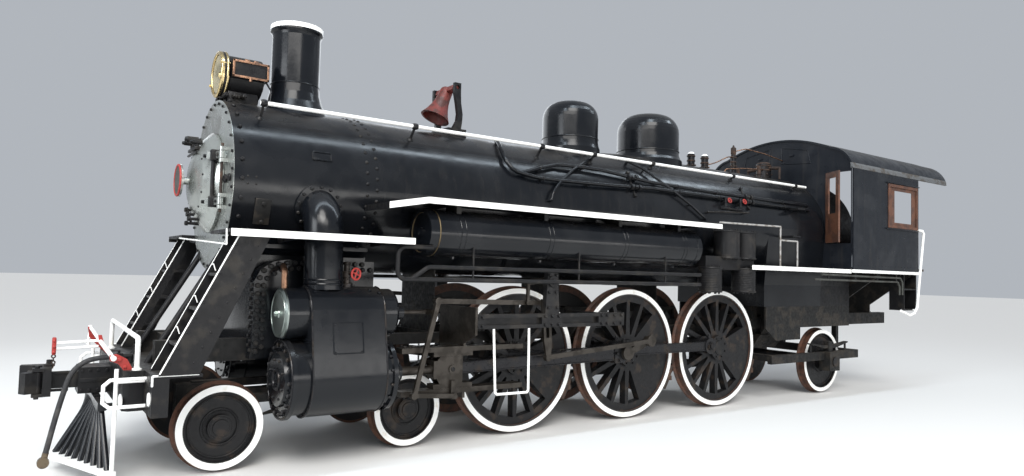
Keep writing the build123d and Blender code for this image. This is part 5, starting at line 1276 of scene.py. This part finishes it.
UPPER_PIPE = (
    (-3.323, 3.570), (-3.220, 3.417), (-3.198, 3.264), (-3.261, 3.155), (-3.369, 3.115), (-3.712, 3.218),
    (-4.022, 3.295), (-4.450, 3.305), (-4.800, 3.290), (-5.536, 3.205), (-6.832, 3.177), (-8.011, 3.167),
    (-9.300, 3.165),
)
LOWER_PIPE = (
    (-3.300, 3.130), (-3.590, 3.087), (-3.936, 3.083), (-4.852, 3.096), (-5.518, 3.117), (-6.800, 3.112),
    (-7.974, 3.099), (-9.300, 3.090),
)
FRONT_STAY = ((-4.716, 3.467), (-4.293, 3.268), (-3.985, 3.073), (-3.846, 2.944), (-3.788, 2.826))
REAR_STAY = (
    (-5.351, 3.485), (-5.558, 3.385), (-5.728, 3.252), (-5.952, 3.126), (-6.274, 2.949), (-6.602, 2.769),
)
LIGHT_ROD = ((-6.620, 2.872), (-7.100, 2.902), (-7.600, 2.925))
# How far each line's middle stands off the boiler, and how deep its ends go in
PIPE_OFF, STAY_OFF, ROD_OFF = 0.055, 0.060, 0.070
END_IN = -0.020
# Each coupling: its x and the heights of the two pipes there
COUPLINGS = ((-5.250, (3.240, 3.108)), (-7.700, (3.169, 3.102)))
PIPE_CLIPS = (-3.70, -4.45, -6.10, -6.95, -8.60)
# The posts under the stays and the light rod: places as x and z, distance off, length and radius
POSTS = (
    (((-5.558, 3.385), (-6.274, 2.949), (-4.293, 3.268)), 0.058, 0.065, 0.012),
    (((-6.660, 2.875), (-7.560, 2.923)), ROD_OFF, 0.075, 0.010),
)


def boiler_pipes():
    """Two long pipes, two stays and a light rod on each side of the boiler."""
    for side, label in SIDES:
        routes = []
        for route in (UPPER_PIPE, LOWER_PIPE):
            line = [beside(x, z, PIPE_OFF, side) for x, z in route]
            line.append(beside(route[-1][0] - 0.050, route[-1][1], END_IN, side))
            routes.append(line)
        routes[0].insert(0, beside(UPPER_PIPE[0][0], 3.540, END_IN, side))
        pipes(f"boiler_pipes_{label}", routes, 0.026, gloss_black)
        stays = []
        for route in (FRONT_STAY, REAR_STAY):
            line = [beside(x, z, STAY_OFF, side) for x, z in route]
            stays.append([beside(*route[0], END_IN, side), *line, beside(*route[-1], END_IN, side)])
        pipes(f"boiler_stays_{label}", stays, 0.020, gloss_black)
        rod = [beside(x, z, ROD_OFF, side) for x, z in LIGHT_ROD]
        pipes(f"boiler_light_rod_{label}", [rod], 0.010, oily_steel)


def level_of(route, x):
    """The height of a pipe's route at a place along the boiler."""
    for (front_x, front_z), (rear_x, rear_z) in zip(route, route[1:]):
        if rear_x <= x <= front_x:
            return front_z + (rear_z - front_z) * (front_x - x) / (front_x - rear_x)
    raise ValueError(f"no pipe at {x}")


def way_out(spot):
    """The way out from the boiler's middle line to a spot."""
    return (spot - Vector((spot.x, 0, BOILER_Z))).normalized()


def coupling(bm, x, levels, side):
    """A hexagon coupling on each long pipe, and the strap that holds both."""
    for z in levels:
        spot = beside(x, z, PIPE_OFF, side)
        for step, size in ((-0.070, 0.044), (0.0, 0.034), (0.070, 0.044)):
            bar(bm, spot + X * (step - 0.022), spot + X * (step + 0.022), size, sides=6)
    low, high = beside(x, 3.010, 0.010, side), beside(x, 3.330, 0.010, side)
    bar(bm, low, high, 0.016)
    for end in (low, high):
        bolt(bm, end, way_out(end), 0.026, 0.030)


def pipe_couplings():
    """Couplings and clips on the long pipes, and the posts of the stays and the light rod."""
    bm = bmesh.new()
    for side in (1, -1):
        for x, levels in COUPLINGS:
            coupling(bm, x, levels, side)
        for x in PIPE_CLIPS:
            for route in (UPPER_PIPE, LOWER_PIPE):
                spot = beside(x, level_of(route, x), 0.052, side)
                bar(bm, spot - way_out(spot) * 0.060, spot, 0.013)
                bar(bm, spot - X * 0.012, spot + X * 0.012, 0.031, sides=16)
        for places, off, length, radius in POSTS:
            for x, z in places:
                spot = beside(x, z, off, side)
                bar(bm, spot - way_out(spot) * length, spot, radius)
    add("pipe_couplings", bm, iron_black)


def boiler_valves():
    """Two valves with red wheels on each side, on a bracket below the pipes."""
    bm = bmesh.new()
    wheels = bmesh.new()
    for side in (1, -1):
        for x, height in ((-7.082, 3.040), (-7.440, 3.050)):
            spot = beside(x, height, 0.070, side)
            way = way_out(spot)
            bar(bm, spot - way * 0.075, spot + way * 0.010, 0.026, sides=16)
            bar(bm, spot - Z * 0.060, spot + Z * 0.075, 0.022, sides=16)
            bar(bm, spot, spot + way * 0.075, 0.010)
            hand_wheel(wheels, spot + way * 0.078, way, 0.036, 0.008, 3, 0.005, 20, 6)
        bar(bm, beside(-7.520, 2.970, 0.014, side), beside(-7.000, 2.970, 0.014, side), 0.018)
    add("boiler_valves", bm, dark_steel)
    add("boiler_valve_wheels", wheels, red_paint)


# Each fitting on the boiler's top, from the front: its place, radius and top
SAFETY_VALVES = ((-7.460, 0.060, 3.960), (-7.800, 0.060, 3.960))
WHISTLE, TURRET = (-8.560, 0.045, 4.060), (-9.420, 0.130, 4.000)
WHISTLE_BELL = [
    (0.0, 0.0), (0.0, 0.030), (0.030, 0.046), (0.130, 0.046), (0.150, 0.020), (0.180, 0.012), (0.184, 0.0),
]
WHISTLE_ROUTES = (
    (
        (-8.300, 0.000, 3.735), (-8.330, 0.030, 3.800), (-8.700, 0.060, 3.845), (-9.200, 0.080, 3.880),
        (-9.420, 0.060, 3.900),
    ),
    ((-8.560, 0.020, 4.130), (-8.800, 0.080, 4.200), (-9.300, 0.120, 4.160), (-9.790, 0.140, 4.090)),
    ((-7.800, 0.000, 3.800), (-8.050, 0.040, 3.880), (-8.350, 0.040, 4.010), (-8.560, 0.000, 4.040)),
)


def turret_pipes(bm):
    """The pipes down each side of the turret, and a capped valve in front of each."""
    for side in (1, -1):
        bar(bm, (TURRET[0], 0, 3.930), (TURRET[0], side * 0.330, 3.900), 0.028, sides=16)
        bar(bm, (TURRET[0], side * 0.330, 3.920), (TURRET[0], side * 0.330, 3.700), 0.020, sides=16)
        bar(bm, (-8.980, side * 0.220, 3.690), (-8.980, side * 0.220, 3.860), 0.032, sides=16)
        bolt(bm, (-8.980, side * 0.220, 3.855), Z, 0.040, 0.040)
        hoop(bm, (-8.980, side * 0.220, 3.760), Z, 0.036, 0.010, 20)


def top_fittings():
    """Rings, bolts and caps on the safety valves, whistle and turret, with their pipes."""
    rusty = bmesh.new()
    pale = bmesh.new()
    for x, radius, top in (*SAFETY_VALVES, WHISTLE, TURRET):
        for level in (top - 0.035, top - 0.115):
            hoop(rusty, (x, 0, level), Z, radius, 0.012, 24)
        centre = Vector((x, 0, top - 0.190))
        for place in round_places(centre, Z, radius + 0.004, 6):
            bolt(rusty, place, place - centre, 0.016, 0.018)
        dome = [
            (-0.002, 0.0), (0.0, radius * 0.95), (0.020, radius * 0.80), (0.034, radius * 0.45), (0.040, 0.0),
        ]
        cap = pale if (x, radius, top) in SAFETY_VALVES else rusty
        lathe(cap, dome, (x, 0, top), Z, 24)
    lathe(rusty, WHISTLE_BELL, (WHISTLE[0], 0, 4.062), Z, 24)
    turret_pipes(rusty)
    add("top_fittings", rusty, rusty_iron)
    add("safety_valve_caps", pale, white_paint)
    pipes("whistle_pipes", WHISTLE_ROUTES, 0.010, copper)


def dome_bands():
    """A seam at the foot of each dome and of the stack."""
    bm = bmesh.new()
    for x, radius in ((-4.850, 0.402), (-6.440, 0.480)):
        hoop(bm, (x, 0, BOILER_Z + FIREBOX_R + 0.115), Z, radius + 0.001, 0.009, 48)
    hoop(bm, (-0.830, 0, 3.930), Z, 0.262, 0.008, 48)
    add("dome_bands", bm, gloss_black)


RESERVOIR_Y, RESERVOIR_Z, RESERVOIR_R = 1.168, 2.320, 0.248


def reservoir_bands():
    """Straps, a rear seam and a front plug on the air reservoirs."""
    bm = bmesh.new()
    plug = [(-0.01, 0.0), (-0.01, 0.050), (0.018, 0.050), (0.022, 0.0)]
    for side in (1, -1):
        middle = Vector((0.0, side * RESERVOIR_Y, RESERVOIR_Z))
        for x in (-2.250, -3.450, -4.650, -5.750):
            for step in (-0.030, 0.030):
                hoop(bm, middle + X * (x + step), X, RESERVOIR_R, 0.005, 48, 6)
            bolt(bm, middle + X * x - Z * RESERVOIR_R, -Z, 0.022, 0.030)
        hoop(bm, middle + X * -5.990, X, RESERVOIR_R, 0.006, 48)
        lathe(bm, plug, middle + X * -1.868, X, 24)
        bolt(bm, middle + X * -1.848, X, 0.026, 0.026)
    add("reservoir_bands", bm, gloss_black)


def reservoir_rims():
    """Two worn brass rims on the front head of each reservoir."""
    bm = bmesh.new()
    for side in (1, -1):
        hoop(bm, (-1.960, side * RESERVOIR_Y, RESERVOIR_Z), X, RESERVOIR_R, 0.007, 48)
        hoop(bm, (-1.866, side * RESERVOIR_Y, RESERVOIR_Z), X, 0.215, 0.007, 48)
    add("reservoir_rims", bm, brass_worn)


COMPRESSOR_Y = 1.230
# The compressor's cylinders: the x and radius of each in a tier, and the tier's foot and top
LOWER_TIER = (((-6.465, 0.165), (-7.225, 0.170)), 1.715, 2.075)
UPPER_TIER = (((-6.830, 0.185), (-7.235, 0.165)), 2.200, 2.610)


def compressor_parts():
    """Flanges, head bolts and cooling ribs on the two-stage air compressor."""
    bm = bmesh.new()
    for tier in (LOWER_TIER, UPPER_TIER):
        places, low, high = tier
        for x, radius in places:
            for level in (low + 0.014, high - 0.014):
                hoop(bm, (x, COMPRESSOR_Y, level), Z, radius, 0.014, 32)
            for level, way in ((low, -Z), (high, Z)):
                for place in round_places((x, COMPRESSOR_Y, level), way, radius - 0.030, 10, 0.5):
                    bolt(bm, place, way, 0.014, 0.020)
            if tier is LOWER_TIER:
                for rib in range(7):
                    level = low + 0.075 + rib * 0.034
                    hoop(bm, (x, COMPRESSOR_Y, level), Z, radius + 0.002, 0.007, 32, 6)
    add("compressor_parts", bm, iron_black)


boiler_pipes()
pipe_couplings()
boiler_valves()
top_fittings()
dome_bands()
reservoir_bands()
reservoir_rims()
compressor_parts()


# Rods and wheels
LEFT_CRANK, RIGHT_CRANK = radians(8), radians(-82)
CRANK = 0.356
MAIN_ROD = 2.640


def pin_of(axle_x, crank):
    """The middle of a crankpin, as x and z."""
    return axle_x + CRANK * cos(crank), DRIVER_R + CRANK * sin(crank)


WRIST_CAP = [(0.0, 0.0), (0.0, 0.078), (0.014, 0.074), (0.020, 0.040), (0.034, 0.038), (0.038, 0.0)]
PIN_CAP = [(0.0, 0.0), (0.0, 0.100), (0.014, 0.096), (0.018, 0.0)]
ROD_CUP = [(0.0, 0.0), (0.0, 0.030), (0.050, 0.030), (0.056, 0.016), (0.075, 0.014), (0.077, 0.0)]
SIDE_ROD_CUP = [(0.0, 0.0), (0.0, 0.026), (0.040, 0.026), (0.046, 0.014), (0.062, 0.012), (0.064, 0.0)]
# Bolts on a main rod's strap, along and across the rod from the pin
STRAP_BOLTS = ((-0.110, 0.090), (-0.110, -0.090), (0.110, 0.090), (0.110, -0.090), (0.160, 0.0))


def rod_parts():
    """Pin caps, the main rods' raised edges, the strap bolts and an oil cup."""
    bright = bmesh.new()
    dark = bmesh.new()
    for side, crank in ((1, LEFT_CRANK), (-1, RIGHT_CRANK)):
        way = Y * side
        pin_x, pin_z = pin_of(DRIVER_AXLES[1], crank)
        wrist_x = pin_x + sqrt(MAIN_ROD**2 - (pin_z - CYLINDER_Z) ** 2)
        pin, wrist = Vector((pin_x, 0, pin_z)), Vector((wrist_x, 0, CYLINDER_Z))
        along = (wrist - pin).normalized()
        across = Vector((-along.z, 0, along.x))
        for edge in (1, -1):
            start = pin + along * 0.200 + across * edge * 0.078
            end = pin + along * (MAIN_ROD - 0.130) + across * edge * 0.053
            bar(bright, start + way * 1.114, end + way * 1.114, 0.009, sides=8)
        lathe(dark, WRIST_CAP, wrist + way * 1.122, way, 24)
        bolt(dark, wrist + way * 1.156, way, 0.026, 0.024)
        lathe(dark, PIN_CAP, pin + way * 1.124, way, 32)
        for step, rise in STRAP_BOLTS:
            bolt(dark, pin + along * step + across * rise + way * 1.125, way, 0.022, 0.026)
        lathe(dark, ROD_CUP, pin + Z * 0.110 + way * 1.080, Z, 16)
    add("main_rod_edges", bright, dark_steel)
    add("main_rod_parts", dark, iron_black)


def side_rod_parts():
    """Oil cups on the side rods' eyes, and the rods' raised edges."""
    for side, crank, label in ((1, LEFT_CRANK, "left"), (-1, RIGHT_CRANK, "right")):
        bm = bmesh.new()
        for axle_x, top in zip(DRIVER_AXLES, (0.114, 0.141, 0.114)):
            pin_x, pin_z = pin_of(axle_x, crank)
            lathe(bm, SIDE_ROD_CUP, (pin_x, side * 0.935, pin_z + top), Z, 16)
        front_x, front_z = pin_of(DRIVER_AXLES[0], crank)
        rear_x = pin_of(DRIVER_AXLES[2], crank)[0]
        for z in (front_z + 0.056, front_z - 0.056):
            bar(bm, (front_x - 0.12, side * 0.962, z), (rear_x + 0.12, side * 0.962, z), 0.008, sides=8)
        add(f"side_rod_parts_{label}", bm, dark_steel, f"side_rod_{label}")


def driver_hubs():
    """Hub caps with their bolts on the driving wheels, and nuts on the outer crankpins."""
    for number, axle_x in enumerate(DRIVER_AXLES, start=1):
        bm = bmesh.new()
        for side, crank in ((1, LEFT_CRANK), (-1, RIGHT_CRANK)):
            hub = Vector((axle_x, side * 0.845, DRIVER_R))
            for place in round_places(hub, Y * side, 0.145, 8, 0.5):
                bolt(bm, place, Y * side, 0.016, 0.016)
            lathe(bm, [(-0.004, 0.0), (-0.004, 0.112), (0.010, 0.108), (0.014, 0.0)], hub, Y * side, 32)
            if number != 2:
                pin_x, pin_z = pin_of(axle_x, crank)
                bolt(bm, (pin_x, side * 0.990, pin_z), Y * side, 0.050, 0.034)
        add(f"driver_{number}_hubs", bm, iron_black, f"driver_{number}")


def plain_wheel_parts():
    """Hub rings and web rings on the leading and trailing wheels."""
    for axle_x, radius, hub, body in (
        (LEAD_AXLES[0], LEAD_R, 0.120, "lead_wheels_front"),
        (LEAD_AXLES[1], LEAD_R, 0.120, "lead_wheels_rear"),
        (TRAILING_AXLE, TRAILING_R, 0.150, "trailing_wheels"),
    ):
        bm = bmesh.new()
        cap = [(-0.004, 0.0), (-0.004, hub * 0.66), (0.010, hub * 0.62), (0.013, 0.0)]
        for side in (1, -1):
            face = Vector((axle_x, side * 0.832, radius))
            lathe(bm, cap, face, Y * side, 32)
            hoop(bm, face - Y * side * 0.002, Y * side, hub * 0.86, 0.007, 32)
            web = Vector((axle_x, side * 0.780, radius))
            hoop(bm, web, Y * side, hub + 0.045, 0.014, 40)
            hoop(bm, web, Y * side, radius - 0.110, 0.012, 48)
        add(f"{body}_rings", bm, wheel_black, body)


# Bolts on the gear frames, as x, or as x and z on the reverse link's bracket
FRAME_BOLTS = (-2.50, -2.56, -3.43, -3.53, -3.63, -4.31, -4.40, -4.52, -4.64)
BRACKET_BOLTS = ((-3.47, 1.52), (-3.60, 1.52), (-3.48, 1.70), (-3.58, 1.70), (-3.48, 1.90), (-3.58, 1.90))
LINK_CAP = [(0.0, 0.0), (0.0, 0.070), (0.020, 0.066), (0.024, 0.036), (0.040, 0.034), (0.042, 0.0)]


def gear_parts():
    """Bolts on the gear frames and the guide bars, and the cap on each link's pin."""
    bm = bmesh.new()
    for side in (1, -1):
        for x in FRAME_BOLTS:
            for z in (1.320, 1.420):
                bolt(bm, (x, side * 1.340, z), Y * side, 0.020, 0.024)
        for x, z in BRACKET_BOLTS:
            bolt(bm, (x, side * 1.335, z), Y * side, 0.018, 0.022)
        lathe(bm, LINK_CAP, (-3.530, side * 1.336, 1.826), Y * side, 24)
        for x in (-1.74, -1.84, -3.10, -3.20):
            for z, way in ((1.095, Z), (0.590, -Z)):
                for y in (1.040, 1.120):
                    bolt(bm, (x, side * y, z), way, 0.018, 0.024)
    add("gear_bolts", bm, iron_black)


rod_parts()
side_rod_parts()
driver_hubs()
plain_wheel_parts()
gear_parts()


# Cab
CAB_FRONT, CAB_REAR, CAB_HALF, CAB_BOTTOM = -9.790, -12.040, 1.475, 2.110
WINDOW = (-11.990, -10.940, 2.930, 3.630)
ROOF_LEVEL = 3.780
HATCH = ((0.120, 4.330), (0.640, 4.230), (0.700, 3.990), (0.120, 4.030))
HATCH_RIVETS = ((0.180, 4.300), (0.600, 4.215), (0.640, 4.020), (0.180, 4.050))


def cab_band(bm, side, inner, outer, rear_low, front_high, ease):
    """A strip on a cab side: how far it goes in and stands out, and its rear low and front high corners."""
    near, far = sorted((side * (CAB_HALF - inner), side * (CAB_HALF + outer)))
    slab(bm, (rear_low[0], near, rear_low[1]), (front_high[0], far, front_high[1]), ease)


def cab_white_line():
    """The white line along the bottom of each cab side."""
    bm = bmesh.new()
    low, high = (CAB_REAR, CAB_BOTTOM - 0.040), (CAB_FRONT - 0.002, CAB_BOTTOM + 0.012)
    for side in (1, -1):
        cab_band(bm, side, 0.014, 0.006, low, high, 0.002)
    add("cab_white_line", bm, white_paint)


def cab_side_trim():
    """Drip strips over and under the windows, and rows of rivets round the cab's sides."""
    bm = bmesh.new()
    rear, front, low, high = WINDOW
    for side in (1, -1):
        for bottom, top in ((high + 0.050, high + 0.066), (low - 0.068, low - 0.046)):
            cab_band(bm, side, 0.002, 0.026, (rear - 0.045, bottom), (front + 0.075, top), 0.003)
        for z in (CAB_BOTTOM + 0.090, ROOF_LEVEL):
            for index in range(20):
                x = CAB_FRONT - 0.060 - index * 0.112
                rivet(bm, (x, side * CAB_HALF, z), Y * side, 0.009)
        for x in (CAB_FRONT - 0.030, CAB_REAR + 0.030):
            for index in range(14):
                rivet(bm, (x, side * CAB_HALF, 2.240 + index * 0.115), Y * side, 0.009)
    add("cab_side_trim", bm, cab_paint)


def window_sashes():
    """Wooden sliding sashes in the side windows."""
    bm = bmesh.new()
    rear, front, low, high = WINDOW
    for side in (1, -1):
        for left, right in ((rear + 0.020, rear + 0.190), (front - 0.235, front - 0.030)):
            cab_band(bm, side, 0.020, -0.004, (left, low), (right, high), 0.003)
        for bottom, top in ((low, low + 0.060), (high - 0.070, high)):
            cab_band(bm, side, 0.018, -0.006, (rear + 0.020, bottom), (front - 0.030, top), 0.003)
    add("window_sashes", bm, brown_wood)


def front_hatches():
    """Raised hatch frames on the cab's front, each side of the boiler's middle."""
    bm = bmesh.new()
    for side in (1, -1):
        corners = [Vector((CAB_FRONT, side * y, z)) for y, z in HATCH]
        for start, end in zip(corners, corners[1:] + corners[:1]):
            bar(bm, start, end, 0.009, sides=8)
        for y, z in HATCH_RIVETS:
            rivet(bm, (CAB_FRONT, side * y, z), X, 0.012)
        low = (CAB_FRONT - 0.002, side * 0.330 - 0.040, 4.150)
        slab(bm, low, (CAB_FRONT + 0.022, side * 0.330 + 0.040, 4.180), 0.004)
    add("front_hatches", bm, cab_paint)


def under_cab_pipes():
    """Two pipes under each side of the cab, hung from its bottom edge."""
    for side, label in SIDES:
        y = side * (CAB_HALF - 0.013)
        upper = [(-8.900, y, 2.020), (-11.400, y, 2.000), (-11.470, y, 1.920), (-11.470, y, 1.700)]
        lower = [(-8.700, y, 1.940), (-11.300, y, 1.930), (-11.370, y, 1.850), (-11.370, y, 1.700)]
        pipes(f"under_cab_pipes_{label}", [upper, lower], 0.016, olive_iron, bend=0.06)
    bm = bmesh.new()
    for side in (1, -1):
        y = side * (CAB_HALF - 0.013)
        for x in (-9.100, -9.900, -10.600, -11.250):
            top = CAB_BOTTOM + 0.004 if x < CAB_FRONT else 2.092
            bar(bm, (x, y if x < CAB_FRONT else side * 1.440, top), (x, y, 1.925), 0.012)
    add("pipe_hangers", bm, iron_black)


def roof_gutters():
    """A rounded gutter along each edge of the cab roof."""
    roof_low, roof_high = span("cab_roof")
    bm = bmesh.new()
    z = roof_low.z + 0.010
    for side in (1, -1):
        y = side * (CAB_HALF - 0.004)
        bar(bm, (roof_low.x, y, z), (roof_high.x, y, z), 0.012)
    add("roof_gutters", bm, bare_roof)


cab_white_line()
cab_side_trim()
window_sashes()
front_hatches()
under_cab_pipes()
roof_gutters()


# Floor and light
FLOOR_HALF = 120.0
FLOOR_COLOUR, FLOOR_ROUGH = (0.74, 0.74, 0.73, 1.0), 0.9
SKY_COLOUR, SKY_STRENGTH = (0.80, 0.85, 0.92, 1.0), 0.55
SUN_ANGLE = radians(30)
# Each light: name, place, the point it faces, size across and up or None for a sun, power, colour
LIGHTS = (
    ("key_light", (3.0, 9.0, 8.5), (-4.0, 0.0, 2.0), (12.0, 3.0), 650, (1.0, 0.97, 0.93)),
    ("front_light", (9.0, 3.0, 5.0), (0.0, 0.0, 2.0), (5.0, 4.0), 450, (0.92, 0.96, 1.0)),
    ("top_light", (-4.0, 2.4, 9.5), (-4.0, 0.0, 2.8), (22.0, 0.55), 520, (0.78, 0.90, 1.0)),
    ("low_light", (-6.0, 9.0, 2.2), (-6.0, 0.0, 1.0), (14.0, 1.5), 260, (1.0, 0.98, 0.95)),
    ("back_light", (-6.0, -9.0, 7.0), (-6.0, 0.0, 2.0), (14.0, 4.0), 300, (0.92, 0.96, 1.0)),
    ("day_light", (6.0, 18.0, 20.0), (-4.0, 0.0, 0.0), None, 2.0, (1.0, 0.98, 0.95)),
)


def studio_floor():
    """A pale floor at the wheels' feet."""
    bm = bmesh.new()
    bmesh.ops.create_grid(bm, x_segments=1, y_segments=1, size=FLOOR_HALF)
    mesh = bpy.data.meshes.new("studio_floor")
    bm.to_mesh(mesh)
    bm.free()
    floor = bpy.data.objects.new("studio_floor", mesh)
    bpy.context.scene.collection.objects.link(floor)
    material = bpy.data.materials.new("studio_floor")
    material.use_nodes = True
    shader = material.node_tree.nodes["Principled BSDF"]
    shader.inputs["Base Color"].default_value = FLOOR_COLOUR
    shader.inputs["Roughness"].default_value = FLOOR_ROUGH
    mesh.materials.append(material)


def studio_light():
    """A pale surrounding, soft area lights and a soft sun."""
    world = bpy.data.worlds.new("studio_world")
    world.use_nodes = True
    background = world.node_tree.nodes["Background"]
    background.inputs["Color"].default_value = SKY_COLOUR
    background.inputs["Strength"].default_value = SKY_STRENGTH
    bpy.context.scene.world = world
    bpy.context.scene.view_settings.view_transform = "Standard"
    for name, place, target, size, power, colour in LIGHTS:
        lamp = bpy.data.lights.new(name, "AREA" if size else "SUN")
        if size:
            lamp.shape = "RECTANGLE"
            lamp.size, lamp.size_y = size
        else:
            lamp.angle = SUN_ANGLE
        lamp.energy = power
        lamp.color = colour
        light = bpy.data.objects.new(name, lamp)
        bpy.context.scene.collection.objects.link(light)
        way = Vector(target) - Vector(place)
        turn = way.to_track_quat("-Z", "Y").to_matrix().to_4x4()
        light.matrix_world = Matrix.Translation(Vector(place) + SHIFT) @ turn


studio_floor()
studio_light()
